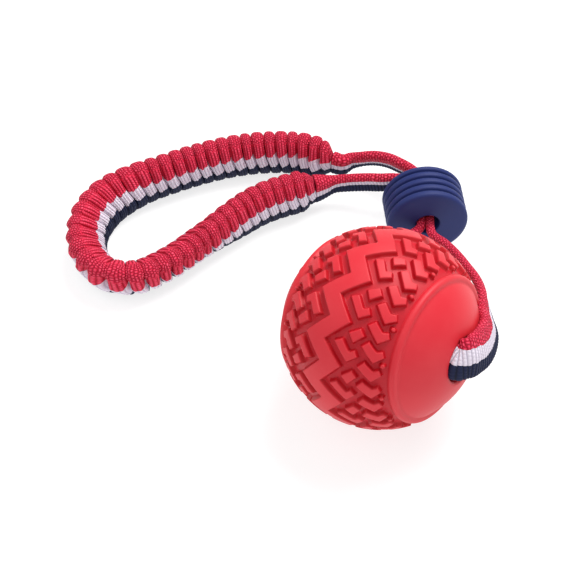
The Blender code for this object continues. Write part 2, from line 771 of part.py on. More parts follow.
def build():
    red = new_material("red_rubber", (0.82, 0.05, 0.07), 0.45)
    navy = new_material("navy_rubber", (0.03, 0.04, 0.13), 0.5)
    webbing = new_material("striped_webbing", (0.62, 0.03, 0.08), 0.85)
    elastic = new_material("elastic_core", (0.75, 0.74, 0.70), 0.7)
    thread = new_material("sewing_thread", (0.8, 0.78, 0.8), 0.8)

    points = smooth_route(handle_points(), 2 * PLEATS + 1)
    make_handle(points, webbing, elastic)
    far_points = tail_route(FAR_TAIL_SHARES, 1, points[0], unit(points[0] - points[1]))
    near_points = tail_route(NEAR_TAIL_SHARES, -1, points[-1], unit(points[-1] - points[-2]))
    far_rows, far_tail = make_tail("webbing_tail_far", far_points, webbing)
    near_rows, near_tail = make_tail("webbing_tail_near", near_points, webbing)
    far_tack = make_tack("bar_tack_far", far_rows, -1, thread)
    near_tack = make_tack("bar_tack_near", near_rows, 1, thread)
    stopper = make_stopper(navy)
    right = make_strand("webbing_strand_right", RIGHT_STRAND_SHARES, 1, 1, webbing)
    left = make_strand("webbing_strand_left", LEFT_STRAND_SHARES, -1, -1, webbing)
    run, lap = make_webbing_in_ball(webbing)
    stitching = make_stitching(thread)
    ball = make_ball(red)

    yoke = Matrix.Translation((points[0] + points[-1]) / 2)
    stretch = add_joint("handle_stretch", yoke @ Matrix.Rotation(pi / 2, 4, "Y"))
    swing = add_joint("strap_swing", yoke, stretch)
    slide = add_joint("stopper_slide", stopper_frame(), swing)
    gap = add_joint("ball_gap", stopper_frame(), slide)
    turn = add_joint("ball_turn", ball_frame(), gap)
    bodies = (
        (stretch, (far_tack, near_tack)),
        (swing, (far_tail, near_tail)),
        (slide, (stopper,)),
        (gap, (right, left, run, lap, stitching)),
        (turn, (ball,)),
    )
    for joint, pieces in bodies:
        for piece in pieces:
            attach(piece, joint)


for old in list(bpy.data.objects):
    bpy.data.objects.remove(old, do_unlink=True)
PARTS = new_collection("dog_rope_chew_toy")
CUTTERS = new_collection("cutters")
build()
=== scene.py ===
"""A dog's tug and fetch toy: a treaded rubber ball on a striped webbing cord, with a grooved rubber
stopper and a pleated hand loop. Every length is in metres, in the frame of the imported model.
"""

from math import cos, pi, radians, sin, sqrt, tau

import bpy
import numpy as np
from mathutils import Matrix, Vector


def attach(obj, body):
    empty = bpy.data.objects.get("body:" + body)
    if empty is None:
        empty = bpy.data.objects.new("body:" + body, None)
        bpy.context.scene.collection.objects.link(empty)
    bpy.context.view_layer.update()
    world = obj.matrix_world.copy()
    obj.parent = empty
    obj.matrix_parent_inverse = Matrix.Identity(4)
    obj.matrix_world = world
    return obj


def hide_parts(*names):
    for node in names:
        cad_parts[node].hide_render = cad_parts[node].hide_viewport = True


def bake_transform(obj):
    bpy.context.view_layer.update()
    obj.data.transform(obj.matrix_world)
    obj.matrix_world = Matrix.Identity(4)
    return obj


# Camera
CAMERA_PLACE = (0.0060, -0.3999, 0.4521)
CAMERA_TILT = radians(42)
CAMERA_LENS = 100.0
SENSOR_WIDTH = 36.0  # in the lens's own unit
PICTURE_SIDE = 576  # in pixels

# Shapes in general
CURVE_STEPS = 24  # between two points of a route
SHARP_ANGLE = radians(65)

# Ball
BALL_CENTRE = np.array((0.0378, -0.0427, 0.035))
BALL_RADIUS = 0.035
BALL_WALL = 0.0085
BALL_HEADING = radians(-36.9)
BALL_RISE = radians(10.8)
BALL_TURN = radians(109.8)
HOLE_RADIUS = 0.0079
HOLE_LIP = 0.0008
DOME_DROP = 0.0008
BEAD_LATITUDE = radians(39.2)
BEAD_WIDTH = 0.0033
BEAD_CREASE = 0.0011
BEAD_STEP = 0.0006  # down from the bead's crease where it meets the tread
BEAD_FULLNESS = 0.8  # power of the sine that its section follows
SKIRT_ANGLE = 0.03  # that the bead's hidden edge reaches under the tread
SKIRT_DROP = 0.0012
BODY_COLUMNS = 224
TREAD_REPEATS = 14
TREAD_DEPTH = 0.0018
TREAD_SHELL = 0.004
TREAD_START = radians(10.07)
TREAD_COLUMNS = 70  # to a repeat
TREAD_ROWS = 93  # from the equator to a bead

# Tread outlines, in fourteenths of a repeat, along the equator and up from it
REPEAT = 14
HALF_REPEAT = 7
TREAD_BAND = ((0, 7.1), (7, 0.5))
TREAD_BLOCKS = (
    ((12.2, 8.5), (9.7, 11.7), (7.5, 10.4), (8.4, 8.8), (5.0, 5.9), (6.4, 3.3)),
    ((5.8, 9.3), (2.6, 12.3), (0.3, 10.4), (2.8, 7.0)),
    ((10.8, 16.3), (8.0, 19.5), (5.6, 18.6), (6.3, 16.8), (3.5, 13.8), (5.8, 11.7)),
    ((3.8, 16.3), (1.0, 19.5), (-1.4, 18.6), (-0.7, 16.8), (-3.5, 13.8), (-1.2, 11.7)),
)
TREAD_DOT = (-2.9, 19.3, 0.9)
TREAD_WALL = 0.38  # half the width of a block's sloping side

# Stopper
STOPPER_CENTRE = np.array((0.05852, 0.03394, 0.0155))
STOPPER_AXIS = np.array((0.08716, -0.99619, 0.0))
STOPPER_RADIUS = 0.0155
STOPPER_LENGTH = 0.0165
STOPPER_BORE = 0.0045
STOPPER_COLUMNS = 192
BORE_ROUND = 0.0008
NEAR_ROUND = 0.0028
FAR_ROUND = 0.0026
GROOVES = 4
GROOVE_PITCH = 0.0034
GROOVE_START = 0.0036  # from the near face to the first groove's middle
GROOVE_DEPTH = 0.0012
GROOVE_MOUTH = 0.0007  # half its width, as its floor's is
GROOVE_FLOOR = 0.0003
LAND_ROUND = 0.0008  # where the surface turns into a groove

# Webbing
WEB_WIDTH = 0.020
WEB_THICKNESS = 0.003
WEB_COLUMNS = 72
SELVEDGE = 0.12  # how much fuller the edges are than the middle
STRIPES = np.array((0.0, 0.008, 0.013, 0.020))  # red, white and navy, from the top edge down
RIB_PITCH = 0.00135
RIB_HEIGHT = 0.00017
RED_RIB = 0.35  # share of a rib's height that the red band has
RED_EDGE = (0.25, 0.45)  # shares of the way across between which ribs gain their height
RIB_FADE = (0.006, 0.012)  # widths between which they do, as the webbing opens
FADE_SLANT = 0.003
BOW_RADIUS = 0.0063
OPEN_STRIPES = (0.4, 0.65)  # where white and navy begin, as shares of the way across

# Strands, from the stopper to the ball
STRAND_SIDE = 0.0017  # from the bore's axis to each layer's middle
STRAND_SHIFT = 0.0009  # of both layers to the left at the bore's near mouth
BUNCHED_WIDTH = 0.0048
BUNCHED_STRIPES = (0.72, 0.86)
SPREAD_WIDTH = 0.0125  # of the right strand where its stripes lie as on open webbing
TUCKED_STRIPES = (0.16, 0.07)  # how much less of the way across they take where it goes in
TUCKING = (0.80, 0.95)
LEFT_WIDTH = 0.0160
LEFT_OPENING = (0.3, 0.8)  # shares of the way to the far hole where it opens, turns and bows
LEFT_TURNING = (0.45, 0.9)
LEFT_BOWING = (0.78, 0.93)
RIGHT_ROWS = 640
LEFT_ROWS = 480
EDGE_LEAN = np.array((-0.10, -0.672, 0.734))  # the way the gathered strands' top edges face
RIGHT_STRAND = (  # pixel, how much nearer than the ball's centre, top edge's lean, width, bow
    ((432.9, 234.6), -0.0534, (0.0, 0.0, 1.0), 0.0048, 0.0),
    ((446.0, 244.4), -0.0455, (0.0, 0.0, 1.0), 0.0048, 0.0),
    ((455.6, 253.4), -0.0388, (0.0, 0.0, 1.0), 0.0050, 0.0),
    ((466.1, 265.8), -0.0302, (0.0, 0.0, 1.0), 0.0056, 0.0),
    ((476.1, 279.7), -0.0211, (0.0, 0.0, 1.0), 0.0070, 0.0),
    ((482.6, 297.0), -0.0111, (0.0, 0.05, 1.0), 0.0085, 0.0),
    ((486.2, 315.0), -0.0013, (-0.25, 0.3, 0.9), 0.0105, 0.1),
    ((490.0, 329.5), 0.0065, (-0.34, 0.56, 0.74), 0.0125, 0.2),
    ((486.8, 343.0), 0.0135, (-0.34, 0.7, 0.6), 0.0140, 0.3),
    ((479.5, 353.0), 0.0195, (-0.22, 0.8, 0.55), 0.0155, 0.4),
    ((468.5, 360.0), 0.0235, (-0.1, 0.9, 0.4), 0.0150, 0.5),
    ((457.0, 361.0), 0.0237, (0.12, 0.98, 0.1), 0.0145, 0.75),
    ((448.8, 352.8), 0.0216, (0.343, 0.939, 0.044), 0.0138, 0.9),
)
LEFT_STRAND = (  # in ball radii, out along its axis, towards the stopper and across both
    (0.86, 1.56, -0.03),
    (0.92, 1.13, -0.06),
    (0.965, 0.74, -0.07),
    (1.005, 0.46, -0.05),
    (1.03, 0.31, -0.02),
    (1.02, 0.22, 0.0),
)
RUN_GAP = 0.0002
LAP_LENGTH = 0.028  # also of the flat run that it lies on
LAP_GAP = 0.0003
RUN_ROWS = 280
LAP_ROWS = 120

# Hand loop
LOOP_HEIGHT = 0.020
LOOP_THICKNESS = 0.012
LOOP_LEVEL = 0.010
LOOP_LEAN = radians(33)
SLEEVE_STRIPES = (0.385, 0.58)  # where white and navy begin, as shares of the way down the side
PLEATS = 46
RIBS_TO_PLEAT = 4.5
PLEAT_ROWS = 26
SLEEVE_COLUMNS = 78
SLEEVE_FULLNESS = 0.0004
SLEEVE_RIB = 0.00022
CREASE_WIDE = 0.0036  # how deep a crease goes at the sides, on top and underneath
CREASE_TOP = 0.0030
CREASE_UNDER = 0.0010
SUNK_BACK = 0.9  # how far the leaning bend moves back, as a share of how far it is let down
PLEAT_LENGTHS = (0.88, 1.12)  # chance shares of the mean
PLEAT_FULLNESSES = (0.7, 1.2)
LONGER = 0.22  # how much longer the pleats round the bend are
SLANT_ABOVE = 0.12  # how far a crease leans along the loop, in pleats, above and on the side
SLANT_BELOW = 0.46
SLANT_LEFTMOST = 0.55
UNEVEN = 0.035
PLEAT_POWER = 2.8
PUFF_POWER = 0.72
TOP_DEPTH = 0.42  # share of its depth that a crease has along the top
STRIPE_SLANT = 0.085  # how far the stripes slant across a pleat, as a share of the way down

# Stretches of the loop, as shares of the way: each comes over one range and goes over another
LEANING = ((0.30, 0.46), (0.74, 0.88))
LONG_PLEATS = ((0.30, 0.40), (0.56, 0.68))
BENDING = ((0.34, 0.44), (0.66, 0.80))
LEFTMOST = ((0.36, 0.46), (0.54, 0.64))
TURNED_UP = ((0.035, (0.34, 0.44)), (0.06, (0.47, 0.56)))  # how far the inner side's stripes go up

# The loop's route
FAR_MOUTH = (0.50, 0.0055)  # share of its size that a mouth has, and where it reaches the whole
NEAR_MOUTH = (0.66, 0.0060)
CORE_RADIUS = 0.003
CORE_COLUMNS = 24
CORE_THINNING = 8  # rows of the sleeve to one of the core
LOOP_CORNER = (0.02390315, 0.00371224)  # start of the loop's frame: X falls and Y grows from here
LOOP_REACH = 0.095
LOOP_SPAN = 0.0684
LOOP_POINTS = (  # of its middle line, as shares of the reach and the span
    (0.0, 0.91),
    (0.14, 0.985),
    (0.29, 0.99),
    (0.43, 0.955),
    (0.56, 0.893),
    (0.69, 0.810),
    (0.82, 0.712),
    (0.94, 0.565),
    (1.0, 0.35),
    (0.975, 0.14),
    (0.90, 0.02),
    (0.79, 0.0),
    (0.67, 0.095),
    (0.54, 0.265),
    (0.415, 0.43),
    (0.29, 0.57),
    (0.155, 0.655),
    (0.085, 0.686),
)

# Tails, from the loop to the stopper
TAIL_GAP = 0.0003
TAIL_STRAIGHT = 0.004
TAIL_WIDTH = 0.0083
TAIL_BORE_WIDTH = 0.0054
TAIL_THICKNESS = 0.0034
TAIL_ROWS = 300
TAIL_CUT = 150  # the row where a tail's two pieces meet
LOOP_SIDE_BEND = (4, 140)  # the rows given for a tail's first piece; the script does not bend it between them
STOPPER_SIDE_BEND = (160, 210)
TAIL_BUNCHING = (0.70, 0.80)  # shares of the way between which it narrows for the bore
TAIL_LEANING = (0.004, 0.014)
TAIL_UPRIGHT = (0.78, 0.98)  # shares of the way between which it stands up again
FLARE_LENGTH = 0.010
FAR_FLARE = (0.0018, 0.0016)  # added to the width and the thickness at the sleeve's mouth
NEAR_FLARE = (0.0042, 0.0034)
FAR_LEAN = radians(20)
FAR_STRIPES = (0.5, 0.6)
NEAR_STRIPES = (0.27, 0.47)
FAR_TAIL = (  # shares of the way from the sleeve's mouth to the bore
    (0.20, -0.02, 0.05),
    (0.32, -0.03, 0.20),
    (0.466, 0.02, 0.48),
    (0.606, 0.126, 0.70),
    (0.732, 0.289, 0.88),
    (0.86, 0.48, 0.97),
    (0.955, 0.70, 1.0),
)
NEAR_TAIL = (
    (0.20, -0.30, 0.0),
    (0.34, -0.345, 0.06),
    (0.511, -0.20, 0.35),
    (0.65, 0.03, 0.68),
    (0.79, 0.17, 0.92),
    (0.91, 0.33, 1.0),
    (0.98, 0.66, 1.0),
)

# Colours, each as painted shade and lit, and, on the red, a painted highlight at a stitch's tip
WEB_RED = ((0.30, 0.002, 0.018, 1), (0.66, 0.013, 0.052, 1), (0.92, 0.095, 0.175, 1))
WEB_WHITE = ((0.48, 0.42, 0.53, 1), (0.77, 0.70, 0.80, 1))
WEB_NAVY = ((0.004, 0.006, 0.02, 1), (0.012, 0.017, 0.055, 1))
ELASTIC = ((0.5, 0.49, 0.46, 1), (0.75, 0.74, 0.70, 1))
THREAD = ((0.5, 0.48, 0.5, 1), (0.82, 0.79, 0.82, 1))
FLOOR_GREY = (0.35, 0.35, 0.35, 1)
WHITE_LIGHT = (1, 1, 1, 1)
# In each rubber, wall and floor are painted shade: the colours of a recess's walls and floor
RED_RUBBER = {
    "colour": (0.64, 0.017, 0.031, 1),
    "wall": (0.46, 0.001, 0.008, 1),
    "floor": (0.52, 0.006, 0.018, 1),
    "bloom": (0.70, 0.055, 0.065, 1),
    "roughness": 0.45,
    "shine": 0.34,
}
# Its wall and floor are painted shade too, as on the red rubber
NAVY_RUBBER = {
    "colour": (0.015, 0.026, 0.13, 1),
    "wall": (0.005, 0.006, 0.025, 1),
    "floor": (0.01, 0.015, 0.05, 1),
    "bloom": (0.022, 0.034, 0.14, 1),
    "roughness": 0.5,
    "shine": 0.25,
}

# Scale of the finishes
RIB_STITCH = 0.0012
KNOT_PITCH = 0.0012  # of the red band's knots, along the webbing and across it
KNOT_STITCH = 0.0013
KNOT_STRAY = 0.0011
KNOT_STRAY_SCALE = 420.0
LINE_STITCH = 0.0010  # of the lines down the sleeve's sides
SLEEVE_FINENESS = 1.2  # of its knots, against those of the open webbing
LINED_DROP = (0.0032, 0.0048)  # from the top edge, where knots give way to lines
EDGE_STRAY = 0.0005  # between ribs, of where a band ends
WEB_BUMP = 0.0005
SKIN_BUMP = 0.00004
THREAD_PITCH = 0.0009
THREAD_STITCH = 0.0008
THREAD_BUMP = 0.0002

# Stage
FLOOR_REACH = 3  # from its middle to a side
FLOOR_LEVEL = -0.0002
FLOOR_GLOW = 0.75
SKY_STRENGTH = 0.5
SOFTBOXES = (  # name, place, size, power
    ("key_softbox", (0.35, 0.35, 0.9), (0.6, 0.6), 11.2),
    ("fill_softbox", (-0.7, -0.3, 0.8), (0.9, 0.9), 2.2),
    ("front_softbox", (0.3, -0.9, 0.6), (0.9, 0.6), 1.3),
)


def unit(vector):
    return vector / np.linalg.norm(vector)


def smooth(low, high, value):
    """0 below low and 1 above high, with an S curve between."""
    share = np.clip((value - low) / (high - low), 0, 1)
    return share * share * (3 - 2 * share)


def plateau(rise, fall, value):
    """0, then 1 between two (low, high) ranges, then 0 again, with an S curve over each range."""
    return smooth(*rise, value) * (1 - smooth(*fall, value))


def directions(rows):
    """The unit vector along a route at each of its points."""
    tangents = np.gradient(rows, axis=0)
    return tangents / np.linalg.norm(tangents, axis=1)[:, None]


def seen_place(pixel, nearer):
    """The point that is seen at a pixel, nearer to the camera than the ball's centre: the camera's
    place, and its depth times the way through that pixel."""
    up = np.array((0.0, cos(CAMERA_TILT), sin(CAMERA_TILT)))
    back = np.array((0.0, -sin(CAMERA_TILT), cos(CAMERA_TILT)))
    depth = (np.array(CAMERA_PLACE) - BALL_CENTRE) @ back - nearer
    focal = CAMERA_LENS / SENSOR_WIDTH * PICTURE_SIDE
    right, above = pixel[0] - PICTURE_SIDE / 2, PICTURE_SIDE / 2 - pixel[1]
    way = np.array((right, 0.0, 0.0)) / focal + above / focal * up - back
    return np.array(CAMERA_PLACE) + depth * way


def smooth_values(values, knots, along):
    """Values at knots, with a cubic between each two that keeps the slopes at both."""
    slopes = np.gradient(values, knots)
    i = np.clip(np.searchsorted(knots, along, side="right") - 1, 0, len(knots) - 2)
    step = knots[i + 1] - knots[i]
    share = np.clip((along - knots[i]) / step, 0, 1)
    leave, arrive = slopes[i] * step, slopes[i + 1] * step
    cubic = 2 * (values[i] - values[i + 1]) + leave + arrive
    square = 3 * (values[i + 1] - values[i]) - 2 * leave - arrive
    return values[i] + share * (leave + share * (square + share * cubic))


def smooth_route(points, count):
    """Evenly spaced points on a cubic curve through the given ones."""
    points = np.array([tuple(point) for point in points])
    knots = distances(points)
    steps = np.arange(CURVE_STEPS * (len(points) - 1) + 1) / CURVE_STEPS
    places = np.interp(steps, np.arange(len(points)), knots)
    fine = np.column_stack([smooth_values(column, knots, places) for column in points.T])
    along = distances(fine)
    even = np.linspace(0, along[-1], count)
    return np.column_stack([np.interp(even, along, column) for column in fine.T])


def distances(rows):
    """How far along a route each of its points lies."""
    return np.concatenate([[0], np.cumsum(np.linalg.norm(np.diff(rows, axis=0), axis=1))])


def surface(name, grid, material, closed_rows=False, **marks):
    """A closed mesh from a grid of points whose columns join up. Its rows join up too, or its first
    and last rows are each closed with a fan. Faces are turned over if the volume that they enclose
    comes out negative. Marks are values at the points, kept as attributes."""
    rows, columns = grid.shape[:2]
    index = np.arange(rows * columns).reshape(rows, columns)
    below = np.roll(index, -1, axis=0) if closed_rows else index[1:]
    here = index if closed_rows else index[:-1]
    quads = np.stack([here, np.roll(here, -1, 1), np.roll(below, -1, 1), below], axis=-1)
    quads = quads.reshape(-1, 4)
    points = grid.reshape(-1, 3)
    fans = np.empty((0, 3), int)
    if not closed_rows:
        ends = len(points) + np.arange(2)
        points = np.vstack([points, grid[0].mean(0), grid[-1].mean(0)])
        first, last = index[0], index[-1]
        start = np.stack([np.full(columns, ends[0]), np.roll(first, -1), first], axis=-1)
        finish = np.stack([np.full(columns, ends[1]), last, np.roll(last, -1)], axis=-1)
        fans = np.vstack([start, finish])
    corners = points[quads] - points.mean(0)
    volume = np.einsum("ij,ij->", corners[:, 0], np.cross(corners[:, 1], corners[:, 2]))
    volume += np.einsum("ij,ij->", corners[:, 0], np.cross(corners[:, 2], corners[:, 3]))
    if volume < 0:
        quads, fans = quads[:, ::-1], fans[:, ::-1]
    mesh = bpy.data.meshes.new(name)
    mesh.vertices.add(len(points))
    mesh.vertices.foreach_set("co", points.astype(np.float32).ravel())
    loops = np.concatenate([quads.ravel(), fans.ravel()]).astype(np.int32)
    sizes = np.concatenate([np.full(len(quads), 4), np.full(len(fans), 3)])
    mesh.loops.add(len(loops))
    mesh.loops.foreach_set("vertex_index", loops)
    mesh.polygons.add(len(sizes))
    starts = np.concatenate([[0], np.cumsum(sizes)[:-1]])
    mesh.polygons.foreach_set("loop_start", starts.astype(np.int32))
    mesh.update(calc_edges=True)
    mesh.validate()
    for mark, values in marks.items():
        values = np.broadcast_to(values, (rows, columns)).ravel()
        if not closed_rows:
            values = np.concatenate([values, values[:1], values[-1:]])
        attribute = mesh.attributes.new(mark, "FLOAT", "POINT")
        attribute.data.foreach_set("value", values.astype(np.float32))
    mesh.shade_smooth()
    mesh.set_sharp_from_angle(angle=SHARP_ANGLE)
    mesh.materials.append(material)
    piece = bpy.data.objects.new(name, mesh)
    bpy.context.scene.collection.objects.link(piece)
    return piece


def turned(profile, centre, axes, columns):
    """A profile of (distance from the axis, height along it), turned about the axes' third column:
    the distance times the cosine and sine of the turn, and the height as it is."""
    angles = np.linspace(0, tau, columns, endpoint=False)
    ring = np.outer(np.cos(angles), axes[:, 0]) + np.outer(np.sin(angles), axes[:, 1])
    profile = np.array(profile)
    return centre + profile[:, :1, None] * ring + profile[:, 1:, None] * axes[:, 2]


def rounded(corners, steps=7):
    """A closed outline with each (x, y, radius) corner replaced by a curve that touches both sides."""
    places = np.array([corner[:2] for corner in corners])
    found = []
    for i, corner in enumerate(corners):
        here, radius = places[i], corner[2]
        before, after = places[i - 1] - here, places[(i + 1) % len(places)] - here
        start = here + unit(before) * min(radius, np.linalg.norm(before) / 2)
        end = here + unit(after) * min(radius, np.linalg.norm(after) / 2)
        for share in np.linspace(0, 1, steps if radius else 1):
            found.append((1 - share) ** 2 * start + 2 * share * (1 - share) * here + share**2 * end)
    return found


# Finishes


def add_node(tree, kind, inputs=(), **settings):
    """A shader node with its inputs linked or set, in order or by name; None leaves one alone."""
    node = tree.nodes.new("ShaderNode" + kind)
    for key, value in settings.items():
        setattr(node, key, value)
    feed(tree, node, inputs if isinstance(inputs, dict) else dict(enumerate(inputs)))
    return node


def feed(tree, node, inputs):
    for key, value in inputs.items():
        if isinstance(value, bpy.types.NodeSocket):
            tree.links.new(value, node.inputs[key])
        elif value is not None:
            node.inputs[key].default_value = value


def sums(tree, operation, *values):
    return add_node(tree, "Math", values, operation=operation).outputs[0]


def ranged(tree, value, start, end, low=0.0, high=1.0):
    """A value's range from start to end, brought to low to high and held there beyond it."""
    return add_node(tree, "MapRange", (value, start, end, low, high)).outputs[0]


def mixed(tree, share, first, second):
    """One colour turning into another."""
    inputs = {0: share, 6: first, 7: second}
    return add_node(tree, "Mix", inputs, data_type="RGBA").outputs[2]


def between(tree, share, first, second):
    """One value turning into another."""
    return add_node(tree, "Mix", (share, None, first, second)).outputs[0]


def new_group(name, inputs, outputs):
    """An empty shader group with float inputs at their usual values and float outputs."""
    group = bpy.data.node_groups.new(name, "ShaderNodeTree")
    for label, value in inputs.items():
        socket = group.interface.new_socket(label, in_out="INPUT", socket_type="NodeSocketFloat")
        socket.default_value = value
    for label in outputs:
        group.interface.new_socket(label, in_out="OUTPUT", socket_type="NodeSocketFloat")
    return group, group.nodes.new("NodeGroupInput").outputs, group.nodes.new("NodeGroupOutput").inputs


def weave_group():
    """Ribs across a webbing, each a row of stitches set half a stitch from its neighbours' rows.
    Height is half a sine over each rib, times one over each stitch that goes down by Knot in the
    gaps. Fleck is a chance value of each stitch's own, and Rib one of each rib's own."""
    inputs = {"Along": 0.0, "Across": 0.0, "Pitch": RIB_PITCH, "Stitch": RIB_STITCH, "Knot": 0.45}
    group, given, result = new_group("woven ribs", inputs, ("Height", "Fleck", "Rib"))
    rib = sums(group, "DIVIDE", given["Along"], given["Pitch"])
    rib_index = sums(group, "FLOOR", rib)
    rib_curve = sums(group, "SINE", sums(group, "MULTIPLY", sums(group, "FRACT", rib), pi))
    half = sums(group, "MULTIPLY", sums(group, "FLOORED_MODULO", rib_index, 2.0), 0.5)
    stitch = sums(group, "ADD", sums(group, "DIVIDE", given["Across"], given["Stitch"]), half)
    stitch_curve = sums(group, "SINE", sums(group, "MULTIPLY", sums(group, "FRACT", stitch), pi))
    own = add_node(group, "CombineXYZ", (rib_index, sums(group, "FLOOR", stitch), 0.0)).outputs[0]
    fleck = add_node(group, "TexWhiteNoise", (own,), noise_dimensions="3D").outputs["Value"]
    lone = add_node(group, "CombineXYZ", (rib_index, 7.0, 3.0)).outputs[0]
    rib_own = add_node(group, "TexWhiteNoise", (lone,), noise_dimensions="3D").outputs["Value"]
    lift = sums(group, "MULTIPLY_ADD", sums(group, "SUBTRACT", stitch_curve, 1.0), given["Knot"], 1.0)
    group.links.new(sums(group, "MULTIPLY", rib_curve, lift), result["Height"])
    group.links.new(fleck, result["Fleck"])
    group.links.new(rib_own, result["Rib"])
    return group


def skin_group():
    """The fine grain and faint cloudiness of moulded rubber, from the object's own coordinates."""
    group, given, result = new_group("moulded skin", {"Grain": 3500.0, "Cloud": 90.0}, ("Height", "Tone"))
    place = add_node(group, "TexCoord").outputs["Object"]
    grain = add_node(group, "TexNoise", {"Vector": place, "Scale": given["Grain"], "Detail": 2.0})
    cloud = add_node(group, "TexNoise", {"Vector": place, "Scale": given["Cloud"], "Detail": 4.0})
    group.links.new(grain.outputs[0], result["Height"])
    group.links.new(cloud.outputs[0], result["Tone"])
    return group


def new_finish(name):
    material = bpy.data.materials.new(name)
    material.use_nodes = True
    tree = material.node_tree
    return material, tree, tree.nodes["Principled BSDF"].inputs


def place_group(tree, group, **inputs):
    node = tree.nodes.new("ShaderNodeGroup")
    node.node_tree = group
    feed(tree, node, inputs)
    return node.outputs


def mark_value(tree, name):
    return add_node(tree, "Attribute", attribute_name=name).outputs["Fac"]


def bump(tree, height, distance, shader, strength=1.0):
    node = add_node(tree, "Bump", {"Height": height, "Distance": distance, "Strength": strength})
    tree.links.new(node.outputs[0], shader["Normal"])


def rubber_finish(name, skin, colour, wall, floor, bloom, roughness, shine):
    """Moulded rubber: a matt grain and a faint bloom, with painted shade in the recesses: their floors
    darker and their walls darker still. A wall is where four times the recess times the rest of it nears
    1."""
    material, tree, shader = new_finish(name)
    marks = place_group(tree, skin)
    recess = mark_value(tree, "recess")
    body = mixed(tree, ranged(tree, marks["Tone"], 0.35, 0.75, 0.0, 0.3), colour, bloom)
    rest = sums(tree, "SUBTRACT", 1.0, recess)
    shaded_wall = sums(tree, "MULTIPLY", sums(tree, "MULTIPLY", recess, rest), 4.0)
    # Painted shade: the recess floor is darker and its walls are darker still
    body = mixed(tree, recess, body, floor)
    body = mixed(tree, sums(tree, "POWER", shaded_wall, 0.7), body, wall)
    tree.links.new(body, shader["Base Color"])
    rough = ranged(tree, marks["Tone"], 0.3, 0.8, roughness, roughness + 0.1)
    tree.links.new(rough, shader["Roughness"])
    shader["Specular IOR Level"].default_value = shine
    bump(tree, marks["Height"], SKIN_BUMP, shader, 0.6)
    return material


def knots(tree, weave, along, drop):
    """The red band's knots, on rows that stray a little, finer on the sleeve than elsewhere."""
    flat = add_node(tree, "CombineXYZ", (along, drop, 0.0)).outputs[0]
    settings = {"Vector": flat, "Scale": KNOT_STRAY_SCALE, "Detail": 1.0}
    noise = add_node(tree, "TexNoise", settings, noise_dimensions="2D").outputs["Color"]
    stray = add_node(tree, "SeparateXYZ", (noise,)).outputs
    fine = mark_value(tree, "fine")
    places = []
    for value, offset in ((along, stray[0]), (drop, stray[1])):
        moved = sums(tree, "MULTIPLY_ADD", sums(tree, "SUBTRACT", offset, 0.5), KNOT_STRAY, value)
        places.append(sums(tree, "MULTIPLY", moved, fine))
    size = {"Pitch": KNOT_PITCH, "Stitch": KNOT_STITCH, "Knot": 0.85}
    return place_group(tree, weave, Along=places[0], Across=places[1], **size)


def webbing_finish(weave):
    """Striped webbing. The red band is a braid of small knots, with painted shade in the gaps and a
    painted highlight on some tips, and down the sleeve's sides lines of stitches; the white and navy
    bands show the ribs, with painted shade between them. Each band ends on its ribs, so its edge is
    stepped."""
    material, tree, shader = new_finish("striped webbing")
    along, across, drop, lined = (mark_value(tree, name) for name in ("along", "across", "drop", "lined"))
    ribs = place_group(tree, weave, Along=along, Across=across)
    braid = knots(tree, weave, along, drop)
    lines = place_group(tree, weave, Along=along, Across=drop, Stitch=LINE_STITCH)
    shift = sums(tree, "MULTIPLY", sums(tree, "SUBTRACT", ribs["Rib"], 0.5), EDGE_STRAY)
    edge = sums(tree, "ADD", across, shift)
    white_share = sums(tree, "GREATER_THAN", edge, float(STRIPES[1]))
    navy_share = sums(tree, "GREATER_THAN", edge, float(STRIPES[2]))
    stitch = between(tree, lined, braid["Height"], lines["Height"])
    fleck = between(tree, lined, braid["Fleck"], lines["Fleck"])
    # Painted shade in the gaps between the red knots, and a painted highlight on the tips of some
    knot_shading = ranged(tree, stitch, 0.02, 0.42)
    glint = ranged(tree, fleck, 0.0, 1.0, 0.4)
    highlight_tips = ranged(tree, stitch, 0.45, 0.95)
    red = mixed(tree, knot_shading, *WEB_RED[:2])
    red = mixed(tree, sums(tree, "MULTIPLY", glint, highlight_tips), red, WEB_RED[2])
    # Painted shade in the valleys between the ribs of the white and navy bands
    rib_shading = ranged(tree, ribs["Height"], 0.0, 0.5)
    light_bands = mixed(tree, white_share, red, mixed(tree, rib_shading, *WEB_WHITE))
    body = mixed(tree, navy_share, light_bands, mixed(tree, rib_shading, *WEB_NAVY))
    tree.links.new(body, shader["Base Color"])
    shader["Roughness"].default_value = 0.7
    shader["Specular IOR Level"].default_value = 0.2
    red_share = sums(tree, "SUBTRACT", 1.0, white_share)
    plain = sums(tree, "MULTIPLY", ribs["Height"], 0.6)
    bump(tree, between(tree, red_share, plain, stitch), WEB_BUMP, shader)
    return material


def thread_finish(name, weave, colours):
    """A twisted or braided cover, from the object's own coordinates, with painted shade in the dips of
    its weave.
    """
    material, tree, shader = new_finish(name)
    place = add_node(tree, "SeparateXYZ", (add_node(tree, "TexCoord").outputs["Object"],)).outputs
    size = {"Pitch": THREAD_PITCH, "Stitch": THREAD_STITCH}
    marks = place_group(tree, weave, Along=place[0], Across=place[2], **size)
    # Painted shade: the colour goes from its shade copy in the weave's dips to its lit copy on top
    tree.links.new(mixed(tree, marks["Height"], *colours), shader["Base Color"])
    shader["Roughness"].default_value = 0.7
    bump(tree, marks["Height"], THREAD_BUMP, shader)
    return material


def floor_finish():
    material, _, shader = new_finish("pale floor")
    shader["Base Color"].default_value = FLOOR_GREY
    shader["Roughness"].default_value = 0.9
    shader["Emission Color"].default_value = WHITE_LIGHT
    shader["Emission Strength"].default_value = FLOOR_GLOW
    return material


# Ball


def ball_axes():
    """Columns: across the webbing in the near hole, through it, and along the ball's axis."""
    turn = Matrix.Rotation(BALL_HEADING, 3, "Z") @ Matrix.Rotation(pi / 2 - BALL_RISE, 3, "Y")
    return np.array(turn @ Matrix.Rotation(BALL_TURN, 3, "Z"))


